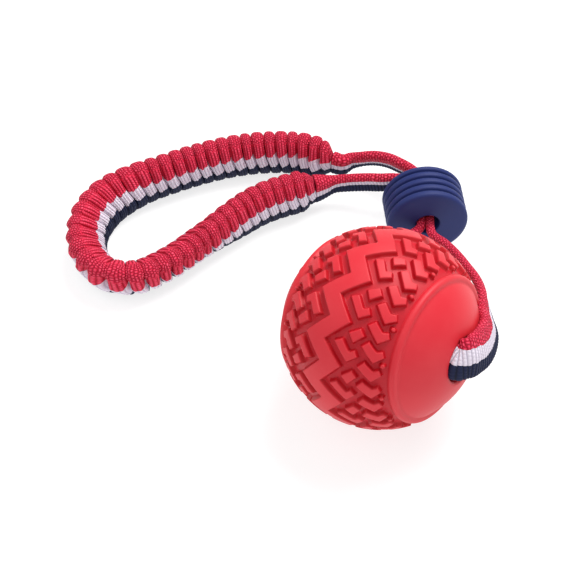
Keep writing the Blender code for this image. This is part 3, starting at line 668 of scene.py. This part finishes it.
def outline_distance(points, outline):
    """Distance from each point to a closed outline's nearest side, positive inside the outline."""
    starts = np.array(outline, float)
    sides = np.roll(starts, -1, axis=0) - starts
    offset = points[:, None] - starts
    share = np.clip((offset * sides).sum(2) / (sides**2).sum(1), 0, 1)
    distance = np.linalg.norm(offset - share[..., None] * sides, axis=2).min(1)
    crosses = (offset[..., 1] >= 0) != (offset[..., 1] >= sides[:, 1])
    slope = sides[:, 0] / np.where(sides[:, 1] == 0, 1, sides[:, 1])
    left = offset[..., 0] < offset[..., 1] * slope
    inside = (crosses & left).sum(1) % 2 == 1
    return np.where(inside, distance, -distance)


def tread_height(along, up):
    """0 on the tread's floor and 1 on its blocks: the greatest distance inside any outline, eased
    over the width of a block's side. The lower half is the upper one turned half round."""
    points = np.stack(np.meshgrid(along, up, indexing="xy"), axis=-1).reshape(-1, 2)
    upper = [(x + REPEAT * i, y) for i in range(-2, 4) for x, y in TREAD_BAND]
    lower = [(REPEAT * 2 - HALF_REPEAT - x, -y) for x, y in upper]
    best = outline_distance(points, upper + lower)
    x, y, size = TREAD_DOT
    for flip in (1, -1):
        turned_points = points * flip + (0 if flip > 0 else np.array((HALF_REPEAT, 0)))
        for step in (-REPEAT, 0, REPEAT):
            moved = turned_points - np.array((step, 0))
            for block in TREAD_BLOCKS:
                best = np.maximum(best, outline_distance(moved, block))
            best = np.maximum(best, size - np.linalg.norm(moved - np.array((x, y)), axis=1))
    return smooth(-TREAD_WALL, TREAD_WALL, best).reshape(len(up), len(along))


def make_tread(material):
    """The tread as two closed rings that meet on the equator. A point lies at its radius times the
    cosines and sines of its longitude and latitude; the radius follows the blocks' height, and a
    plain wall inside closes each ring."""
    step = tau / TREAD_REPEATS / REPEAT
    edge = BEAD_LATITUDE / step
    along = np.arange(TREAD_COLUMNS) * REPEAT / TREAD_COLUMNS
    for name, low, high in (("ball_tread_near", 0, edge), ("ball_tread_far", -edge, 0)):
        up = np.linspace(low, high, TREAD_ROWS)
        height = np.tile(tread_height(along, up), (1, TREAD_REPEATS))
        radius = BALL_RADIUS - TREAD_DEPTH * (1 - height)
        inner = np.full((3, radius.shape[1]), BALL_RADIUS - TREAD_SHELL)
        latitude = np.concatenate([up, (high, (low + high) / 2, low)])[:, None] * step
        radius = np.vstack([radius, inner])
        recess = np.vstack([1 - height, np.ones_like(inner)])
        longitude = (TREAD_START + np.arange(radius.shape[1]) * tau / radius.shape[1])[None]
        level = np.cos(latitude)
        sphere = [level * np.cos(longitude), level * np.sin(longitude)]
        sphere = np.stack([*sphere, np.sin(latitude) * np.ones_like(longitude)], axis=-1)
        grid = BALL_CENTRE + (radius[..., None] * sphere) @ ball_axes().T
        piece = surface(name, grid, material, closed_rows=True, recess=recess)
        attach(piece, "ball")
        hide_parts("ball")


def bead_and_cap():
    """Half of the ball's outside as (angle up from the equator, radius): a hidden skirt under the
    tread, a bead that swells by a power of a sine, and a cap that sinks evenly to the hole's lip."""
    share = np.linspace(0, 1, 13)
    swell = np.sin(pi * share) ** BEAD_FULLNESS
    radius = BALL_RADIUS - BEAD_CREASE * (1 - swell)
    radius[0] -= BEAD_STEP
    end = BEAD_LATITUDE + BEAD_WIDTH / BALL_RADIUS
    lip = pi / 2 - np.arcsin((HOLE_RADIUS + HOLE_LIP) / BALL_RADIUS)
    sinks = DOME_DROP - BEAD_CREASE
    skirt = (BEAD_LATITUDE - SKIRT_ANGLE, BALL_RADIUS - TREAD_DEPTH - SKIRT_DROP)
    bead = [(BEAD_LATITUDE + (end - BEAD_LATITUDE) * s, r) for s, r in zip(share, radius)]
    cap_share = np.linspace(0, 1, 22)[1:]
    cap = [(end + (lip - end) * s, BALL_RADIUS - BEAD_CREASE - sinks * s) for s in cap_share]
    return [skirt, *bead, *cap]


def make_ball_body(material):
    """The beads, caps, holes and hollow: one profile turned about the ball's axis."""
    outer = [(r * cos(a), r * sin(a)) for a, r in bead_and_cap()]
    top = outer[-1][1]
    turn = np.linspace(0, pi / 2, 6)[1:]
    rim = [(HOLE_RADIUS + HOLE_LIP * (1 - sin(a)), top - HOLE_LIP * (1 - cos(a))) for a in turn]
    hollow = BALL_RADIUS - BALL_WALL
    mouth = np.arccos(HOLE_RADIUS / hollow)
    wall = [(HOLE_RADIUS, h) for h in np.linspace(rim[-1][1], hollow * sin(mouth), 6)[1:]]
    inside = [(hollow * cos(a), hollow * sin(a)) for a in np.linspace(mouth, 0, 14)[1:]]
    half = outer + rim + wall + inside
    profile = half + [(r, -h) for r, h in half[-2::-1]]
    grid = turned(profile, BALL_CENTRE, ball_axes(), BODY_COLUMNS)
    piece = surface("ball_body", grid, material, closed_rows=True, recess=0.0)
    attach(piece, "ball")
    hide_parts("ball")


# Stopper


def stopper_axes():
    level = np.array((-STOPPER_AXIS[1], STOPPER_AXIS[0], 0))
    return np.column_stack([level, np.cross(STOPPER_AXIS, level), STOPPER_AXIS])


def make_stopper(material):
    """A ring: a profile with eased corners and evenly spaced grooves, turned about the bore."""
    top = STOPPER_LENGTH / 2
    floor = STOPPER_RADIUS - GROOVE_DEPTH
    corners = [(STOPPER_BORE, top, BORE_ROUND), (STOPPER_RADIUS, top, NEAR_ROUND)]
    for i in range(GROOVES):
        middle = top - GROOVE_START - GROOVE_PITCH * i
        corners.append((STOPPER_RADIUS, middle + GROOVE_MOUTH, LAND_ROUND))
        corners += [(floor, middle + side * GROOVE_FLOOR, GROOVE_FLOOR) for side in (1, -1)]
        corners.append((STOPPER_RADIUS, middle - GROOVE_MOUTH, LAND_ROUND))
    corners += [(STOPPER_RADIUS, -top, FAR_ROUND), (STOPPER_BORE, -top, BORE_ROUND)]
    grid = turned(rounded(corners), STOPPER_CENTRE, stopper_axes(), STOPPER_COLUMNS)
    piece = surface("stopper_ring", grid, material, closed_rows=True, recess=0.0)
    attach(piece, "stopper")
    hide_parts("stopper")


# Webbing


def bore_place(side, height):
    """A place in the stopper's bore, on the middle line of one of the two layers."""
    level = stopper_axes()[:, 0]
    aside = side * STRAND_SIDE - STRAND_SHIFT * smooth(0, STOPPER_LENGTH / 2, height)
    return STOPPER_CENTRE + level * aside + STOPPER_AXIS * height


def strand_axes():
    """The ball's axis, the way to the stopper and the way across both."""
    axis = ball_axes()[:, 2]
    mouth = STOPPER_CENTRE + STOPPER_AXIS * STOPPER_LENGTH / 2 - BALL_CENTRE
    towards = unit(mouth - axis * (mouth @ axis))
    return axis, towards, np.cross(axis, towards)


def hole_side(pole):
    """The side of a hole that the webbing lies against, and the webbing's width there."""
    _, towards, across = strand_axes()
    axes = ball_axes()
    return (axes[:, 1], axes[:, 0]) if pole > 0 else (towards, across)


def stripe_place(share, white, navy):
    """Where on the flat webbing a share of the way across lies, if white and navy begin there."""
    red_part = share / white * STRIPES[1]
    white_part = STRIPES[1] + (share - white) / (navy - white) * (STRIPES[2] - STRIPES[1])
    navy_part = STRIPES[2] + (share - navy) / (1 - navy) * (STRIPES[3] - STRIPES[2])
    return np.where(share < white, red_part, np.where(share < navy, white_part, navy_part))


def strap(
    name, rows, uprights, widths, thicknesses, bows, material, start=0.0, stripes=OPEN_STRIPES
):
    """Webbing along a route. Its section has round edges and slightly full selvedges; each rib
    lifts the face and the edge a little. A bow curls the section about a line along the route: a
    point x across and y through goes to (R - y) times the sine of x / R, and to R less (R - y)
    times its cosine, where R is the bow's radius."""
    along = distances(rows) + start
    tangents = directions(rows)
    uprights = uprights - tangents * (uprights * tangents).sum(1)[:, None]
    uprights /= np.linalg.norm(uprights, axis=1)[:, None]
    through = np.cross(tangents, uprights)
    turn = np.linspace(0, tau, WEB_COLUMNS, endpoint=False) + tau / WEB_COLUMNS / 2
    share = (1 - np.cos(turn)) / 2
    side = np.sign(np.sin(turn))
    widths = np.broadcast_to(widths, len(rows))[:, None]
    thicknesses = np.broadcast_to(thicknesses, len(rows))[:, None]
    rib = (np.abs(np.sin(pi * along / RIB_PITCH))[:, None] - 1) * RIB_HEIGHT
    rib = rib * (RED_RIB + (1 - RED_RIB) * smooth(*RED_EDGE, share))
    rib = rib * smooth(*RIB_FADE, widths + FADE_SLANT * share)
    x = (0.5 - share) * (widths + 2 * rib)
    from_edge = np.minimum(share, 1 - share) * widths / (thicknesses / 2)
    edge = np.sqrt(np.clip(1 - (1 - np.clip(from_edge, 0, 1)) ** 2, 0, 1))
    full = 1 + SELVEDGE * np.exp(-((from_edge - 1.0) ** 2))
    y = side * (thicknesses / 2 * edge * full + rib * edge)
    bend = np.broadcast_to(bows, len(rows))[:, None] / BOW_RADIUS
    flat = np.abs(bend) < 1e-3
    safe = np.where(flat, 1.0, bend)
    curled_x = np.where(flat, x, (1 / safe - y) * np.sin(safe * x))[..., None]
    curled_y = np.where(flat, y, 1 / safe - (1 / safe - y) * np.cos(safe * x))[..., None]
    grid = rows[:, None] + curled_x * uprights[:, None] + curled_y * through[:, None]
    white, navy = (np.broadcast_to(value, len(rows))[:, None] for value in stripes)
    steps = np.hypot(np.diff(x, axis=1), np.diff(y, axis=1))
    girth = np.concatenate([0 * widths, np.cumsum(steps, axis=1)], axis=1) + steps[:, :1] / 2
    girth = np.where(side > 0, girth, girth - girth[:, -1:] - steps[:, :1] / 2)
    marks = {"along": along[:, None], "across": stripe_place(share[None], white, navy), "drop": girth}
    return surface(name, grid, material, lined=0.0, fine=1.0, **marks)


def strand_start(side):
    return [bore_place(side, height) for height in (0.0, STOPPER_LENGTH / 4, STOPPER_LENGTH / 2)]


def finish_strand(piece, node):
    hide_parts(node)
    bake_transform(piece)


def make_right_strand(material):
    """From the bore, edge on, round the ball's side; then it turns its face out, narrows and bows,
    and goes into the near hole against its upper side."""
    pixels, nearer, leans, widths, bows = zip(*RIGHT_STRAND)
    start = strand_start(1)
    places = start + [seen_place(*place) for place in zip(pixels, nearer)]
    rows = smooth_route(places, RIGHT_ROWS)
    along = distances(rows)
    knots = distances(np.array(places))
    knots = knots / knots[-1] * along[-1]

    def spread(values, first):
        return smooth_values(np.array([first] * len(start) + list(values), float), knots, along)

    leans = [from_edge_view(lean) for lean in leans]
    uprights = [spread([lean[i] for lean in leans], EDGE_LEAN[i]) for i in range(3)]
    widths = spread(widths, BUNCHED_WIDTH)
    bunched = 1 - smooth(BUNCHED_WIDTH, SPREAD_WIDTH, widths)
    narrowed = smooth(*TUCKING, along / along[-1])
    stripes = [
        opened + (gathered - opened) * bunched - less * narrowed
        for opened, gathered, less in zip(OPEN_STRIPES, BUNCHED_STRIPES, TUCKED_STRIPES)
    ]
    section = (np.column_stack(uprights), widths, WEB_THICKNESS, spread(bows, 0.0))
    piece = strap("webbing_right", rows, *section, material, stripes=stripes)
    finish_strand(piece, "webbing_strand_right")


def from_edge_view(lean):
    """A direction given as right, up and out along the top edges' facing, as one in the frame."""
    up = np.cross((-1.0, 0.0, 0.0), EDGE_LEAN)
    return lean[0] * np.array((1.0, 0.0, 0.0)) + lean[1] * up + lean[2] * EDGE_LEAN


def make_left_strand(material):
    """From the bore nearly straight to the far hole, against the side next to the stopper."""
    axis, towards, across = strand_axes()
    ways = np.array((-axis, towards, across))
    middle = [BALL_CENTRE + BALL_RADIUS * np.array(share) @ ways for share in LEFT_STRAND]
    lie, hole_across = hole_side(-1)
    inner = BALL_RADIUS - BALL_WALL / 2
    depths = (BALL_RADIUS, (BALL_RADIUS + inner) / 2, inner)
    end = [BALL_CENTRE + lie * BOW_RADIUS - axis * depth for depth in depths]
    rows = smooth_route(strand_start(-1) + middle + end, LEFT_ROWS)
    along = np.linspace(0, 1, len(rows))
    spread, bows = smooth(*LEFT_OPENING, along), smooth(*LEFT_BOWING, along)
    turn = smooth(*LEFT_TURNING, along)[:, None]
    uprights = EDGE_LEAN * (1 - turn) + hole_across * turn
    widths = BUNCHED_WIDTH + (LEFT_WIDTH - BUNCHED_WIDTH) * spread
    stripes = [
        gathered + (opened - gathered) * spread
        for opened, gathered in zip(OPEN_STRIPES, BUNCHED_STRIPES)
    ]
    section = (uprights, widths, WEB_THICKNESS, bows)
    piece = strap("webbing_left", rows, *section, material, stripes=stripes)
    finish_strand(piece, "webbing_strand_left")


def make_strap_in_ball(material):
    """The run across the ball, bowed at either end, and the other end lapped on it."""
    axis, _, _ = strand_axes()
    near_lie, near_across = hole_side(1)
    far_lie, far_across = hole_side(-1)
    end = BALL_RADIUS - BALL_WALL / 2 - RUN_GAP
    hole = sqrt((BALL_RADIUS - BALL_WALL) ** 2 - HOLE_RADIUS**2)
    heights = np.linspace(end, -end, RUN_ROWS)
    flat = LAP_LENGTH / 2
    bows = smooth(flat, hole, heights) - smooth(flat, hole, -heights)
    level = unit(near_across + far_across)
    near, far = np.clip(bows, 0, 1)[:, None], np.clip(-bows, 0, 1)[:, None]
    rows = BALL_CENTRE + heights[:, None] * axis + (near_lie * near + far_lie * far) * BOW_RADIUS
    uprights = level * (1 - near - far) + near_across * near + far_across * far
    run = strap("webbing_through_ball", rows, uprights, WEB_WIDTH, WEB_THICKNESS, bows, material)
    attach(run, "ball_loop")
    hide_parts("webbing_in_ball")
    above = BALL_CENTRE + np.cross(axis, level) * (WEB_THICKNESS + LAP_GAP)
    rows = above + np.linspace(flat, -flat, LAP_ROWS)[:, None] * axis
    uprights = np.tile(level, (LAP_ROWS, 1))
    lap = strap("webbing_lap", rows, uprights, WEB_WIDTH, WEB_THICKNESS, 0.0, material)
    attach(lap, "ball_loop")
    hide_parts("splice_lap")


def make_tail(name, node, shares, side, mouth, outward, flare, lean, stripes, material):
    """From a sleeve mouth, where it flares to meet the pleats, to the middle of the bore. It is two
    pieces that meet at a row."""
    face = bore_place(side, -STOPPER_LENGTH / 2)
    start = mouth + outward * TAIL_GAP
    way = face - start
    points = [start, mouth + outward * TAIL_STRAIGHT]
    points += [start + way * np.array(share) for share in shares]
    points += [face, bore_place(side, -STOPPER_LENGTH / 4), bore_place(side, 0.0)]
    rows = smooth_route(points, TAIL_ROWS)
    along = distances(rows)
    progress = along / along[-1]
    flared = 1 - smooth(0.0, FLARE_LENGTH, along)
    narrowing = (TAIL_WIDTH - TAIL_BORE_WIDTH) * smooth(*TAIL_BUNCHING, progress)
    widths = TAIL_WIDTH + flare[0] * flared - narrowing
    thicknesses = TAIL_THICKNESS + flare[1] * flared
    leaning = smooth(*TAIL_LEANING, along) * (1 - smooth(*TAIL_UPRIGHT, progress))
    uprights = np.column_stack([0 * along, -np.sin(lean * leaning), np.cos(lean * leaning)])
    whites, navies = (
        seam + (turned_seam - seam) * leaning
        for seam, turned_seam in zip(SLEEVE_STRIPES, stripes)
    )
    parts = (
        (slice(0, TAIL_CUT + 1), "_loop_side", LOOP_SIDE_BEND),
        (slice(TAIL_CUT, TAIL_ROWS), "_stopper_side", STOPPER_SIDE_BEND),
    )
    for part, ending, (first, last) in parts:
        section = (uprights[part], widths[part], thicknesses[part], 0.0)
        seams = (whites[part], navies[part])
        piece = strap(name + ending, rows[part], *section, material, along[part][0], seams)
        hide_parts(node)
        if last < TAIL_CUT:
            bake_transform(piece)
        else:
            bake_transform(piece)


def loop_route(count):
    x, y = LOOP_CORNER
    points = [(x - LOOP_REACH * u, y + LOOP_SPAN * v, LOOP_LEVEL) for u, v in LOOP_POINTS]
    return smooth_route(points, count)


def sleeve_route(way):
    """The sleeve's middle line, and the ways inwards and upwards at each point of it. Round the
    bend it leans outwards, and it is let down by as much as its lowest point would rise."""
    rows = loop_route(len(way))
    lean = LOOP_LEAN * plateau(*LEANING, way)
    rest = np.hypot(LOOP_HEIGHT / 2 * np.cos(lean), LOOP_THICKNESS / 2 * np.sin(lean))
    drop = LOOP_HEIGHT / 2 - rest
    rows = rows + np.column_stack([0 * drop, SUNK_BACK * drop, -drop])
    tangents = directions(rows)
    level = np.cross((0.0, 0.0, 1.0), tangents)
    level /= np.linalg.norm(level, axis=1)[:, None]
    up = np.cross(tangents, level)
    inwards = level * np.cos(lean)[:, None] + up * np.sin(lean)[:, None]
    upwards = up * np.cos(lean)[:, None] - level * np.sin(lean)[:, None]
    return rows, inwards[:, None], upwards[:, None]


def down_the_side(angle):
    """How far down the sleeve's side, from 0 on top to 1 underneath, each angle of its oval lies,
    and how long that side is. Lengths along an oval have no formula, so they are summed."""
    fine = np.linspace(-pi / 2, pi / 2, 181)
    across, up = LOOP_THICKNESS / 2 * np.cos(fine), LOOP_HEIGHT / 2 * np.sin(fine)
    arc = np.concatenate([[0], np.cumsum(np.hypot(np.diff(across), np.diff(up)))])
    height = np.arcsin(np.clip(np.sin(angle), -1, 1))
    return 1 - np.interp(height, fine, arc / arc[-1]), arc[-1]


def make_sleeve(material):
    """The webbing gathered on its elastic: an oval carried along the loop, drawn in at each crease.
    A crease is shallow on top and deep on the sides, where it leans; each pleat has its own length
    and fullness. A pleat stands out by 1 less a power of the distance from its middle, all to a
    second power; the first is highest low on the sides, where a crease is a narrow cut. The ranges
    of share say how far down the side an effect comes."""
    count = PLEATS * PLEAT_ROWS + 1
    way = np.linspace(0, 1, count)
    rows, inwards, upwards = sleeve_route(way)
    chance = np.random.default_rng(4)
    angle = np.linspace(0, tau, SLEEVE_COLUMNS, endpoint=False)
    share, side_length = down_the_side(angle)
    side = np.where(np.cos(angle) > 0, 1.0, -1.0)
    inner, outer = side > 0, side < 0
    order = np.arange(PLEATS) / PLEATS
    sizes = chance.uniform(*PLEAT_LENGTHS, PLEATS) * (1 + LONGER * plateau(*LONG_PLEATS, order))
    ends = np.concatenate([[0], np.cumsum(sizes)]) / sizes.sum()
    leftmost = plateau(*LEFTMOST, way)[:, None] * outer
    shift = SLANT_ABOVE * smooth(0.1, 0.38, share) + SLANT_BELOW * smooth(0.36, 0.72, share)
    shift = shift - SLANT_LEFTMOST * leftmost * smooth(0.06, 0.40, share)
    phase = np.interp(way, ends, np.arange(PLEATS + 1))[:, None] + shift * side
    place = phase + UNEVEN * np.sin(tau * phase + 0.6)
    pleat = np.floor(place)
    across_pleat = place - pleat
    own = chance.uniform(*PLEAT_FULLNESSES, PLEATS + 4)[pleat.astype(int) + 1]
    bend = plateau(*BENDING, way)[:, None]
    rounder = 0.9 * bend * outer * (1 - smooth(0.2, 0.3, share))
    power = PLEAT_POWER - 1.0 * smooth(0.1, 0.3, share) + 2.6 * smooth(0.34, 0.46, share) - rounder
    puff = (1 - np.abs(2 * across_pleat - 1) ** power) ** PUFF_POWER
    inner_ease = 1 - 0.3 * bend * inner * smooth(0.0, 0.2, share)
    outer_gain = 1 + 0.7 * bend * outer * smooth(0.0, 0.08, share)
    top_ease = TOP_DEPTH + (1 - TOP_DEPTH) * smooth(0.03, 0.24, share)
    top_ease = top_ease - 0.10 * bend * (1 - smooth(0.05, 0.2, share))
    low_ease = 1 - 0.35 * smooth(0.36, 0.66, share) * (1 - 0.5 * bend * outer)
    inward = (1 - puff) * own * top_ease * low_ease * inner_ease * outer_gain
    from_end = np.arange(count) * distances(rows)[-1] / count
    open_share = np.minimum(mouth_share(FAR_MOUTH, from_end), mouth_share(NEAR_MOUTH, from_end[::-1]))
    rib = (np.abs(np.sin(pi * place * RIBS_TO_PLEAT)) - 1) * SLEEVE_RIB * smooth(0.1, 0.3, share)
    deep = np.where(np.sin(angle) > 0, CREASE_TOP, CREASE_UNDER)
    wide = np.cos(angle) * (LOOP_THICKNESS / 2 + SLEEVE_FULLNESS - CREASE_WIDE * inward + rib)
    tall = np.sin(angle) * (LOOP_HEIGHT / 2 - deep * inward + rib)
    section = (wide[..., None] * inwards + tall[..., None] * upwards) * open_share[:, None, None]
    slant = -STRIPE_SLANT * side * (across_pleat - 0.5) * smooth(0.1, 0.3, share)
    higher = sum(part * smooth(*span, way) for part, span in TURNED_UP)
    stripe_share = np.clip(share + slant - inner * higher[:, None], 0, 1)
    marks = {
        "along": place * RIBS_TO_PLEAT * RIB_PITCH,
        "across": stripe_place(stripe_share, *SLEEVE_STRIPES),
        "drop": share * side * side_length,
        "lined": smooth(*LINED_DROP, share * side_length),
        "fine": SLEEVE_FINENESS,
    }
    piece = surface("pleated_sleeve", rows[:, None] + section, material, **marks)
    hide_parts("handle_sleeve")
    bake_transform(piece)
    return rows


def mouth_share(mouth, from_end):
    """How far open the sleeve is, which grows to 1 with the distance from its end."""
    start, length = mouth
    return start + (1 - start) * smooth(0.0, length, from_end) ** 0.8


def make_core(rows, material):
    """The elastic cord inside the sleeve."""
    rows = rows[::CORE_THINNING]
    above = np.array((0.0, 0.0, 1.0))
    left = np.cross(above, directions(rows))
    angle = np.linspace(0, tau, CORE_COLUMNS, endpoint=False)[None, :, None]
    ring = np.cos(angle) * left[:, None] + np.sin(angle) * above
    piece = surface("elastic_cord", rows[:, None] + CORE_RADIUS * ring, material)
    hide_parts("bungee_core")
    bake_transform(piece)


# Stage


def add_light(name, place, size, power):
    """A softbox that faces the origin."""
    data = bpy.data.lights.new(name, "AREA")
    data.shape = "RECTANGLE"
    data.size, data.size_y = size
    data.energy = power
    light = bpy.data.objects.new(name, data)
    light.location = place
    light.rotation_euler = (-Vector(place)).to_track_quat("-Z", "Y").to_euler()
    bpy.context.scene.collection.objects.link(light)


def make_stage():
    mesh = bpy.data.meshes.new("floor")
    square = ((-1, -1), (1, -1), (1, 1), (-1, 1))
    corners = [(x * FLOOR_REACH, y * FLOOR_REACH, FLOOR_LEVEL) for x, y in square]
    mesh.from_pydata(corners, [], [(0, 1, 2, 3)])
    mesh.materials.append(floor_finish())
    floor = bpy.data.objects.new("floor", mesh)
    bpy.context.scene.collection.objects.link(floor)
    for softbox in SOFTBOXES:
        add_light(*softbox)
    world = bpy.data.worlds.new("studio")
    bpy.context.scene.world = world
    world.use_nodes = True
    sky = world.node_tree.nodes["Background"].inputs
    sky["Color"].default_value = WHITE_LIGHT
    sky["Strength"].default_value = SKY_STRENGTH
    bpy.context.scene.view_settings.view_transform = "Standard"
    camera = bpy.data.objects.new("camera", bpy.data.cameras.new("camera"))
    camera.location = CAMERA_PLACE
    camera.rotation_euler = (CAMERA_TILT, 0, 0)
    camera.data.lens = CAMERA_LENS
    bpy.context.scene.collection.objects.link(camera)
    bpy.context.scene.camera = camera


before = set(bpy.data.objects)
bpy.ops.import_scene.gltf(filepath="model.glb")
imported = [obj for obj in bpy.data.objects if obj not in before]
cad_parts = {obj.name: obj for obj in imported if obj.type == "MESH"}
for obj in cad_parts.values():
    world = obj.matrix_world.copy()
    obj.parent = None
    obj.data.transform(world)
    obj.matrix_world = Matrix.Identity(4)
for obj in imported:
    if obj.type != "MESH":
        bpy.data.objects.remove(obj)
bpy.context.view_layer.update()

weave, skin = weave_group(), skin_group()
red = rubber_finish("red rubber", skin, **RED_RUBBER)
navy = rubber_finish("navy rubber", skin, **NAVY_RUBBER)
striped = webbing_finish(weave)
elastic = thread_finish("braided elastic", weave, ELASTIC)
thread = thread_finish("sewing thread", weave, THREAD)

make_tread(red)
make_ball_body(red)
make_stopper(navy)
make_right_strand(striped)
make_left_strand(striped)
make_strap_in_ball(striped)
loop = make_sleeve(striped)
make_core(loop, elastic)
far_out, near_out = unit(loop[0] - loop[2]), unit(loop[-1] - loop[-3])
far = (FAR_TAIL, 1, loop[0], far_out, FAR_FLARE, FAR_LEAN, FAR_STRIPES)
near = (NEAR_TAIL, -1, loop[-1], near_out, NEAR_FLARE, 0.0, NEAR_STRIPES)
make_tail("tail_far", "webbing_tail_far", *far, striped)
make_tail("tail_near", "webbing_tail_near", *near, striped)
for node in ("bar_tack_far", "bar_tack_near", "splice_stitching"):
    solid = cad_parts[node]
    solid.data.materials.clear()
    solid.data.materials.append(thread)

make_stage()
bpy.context.view_layer.update()
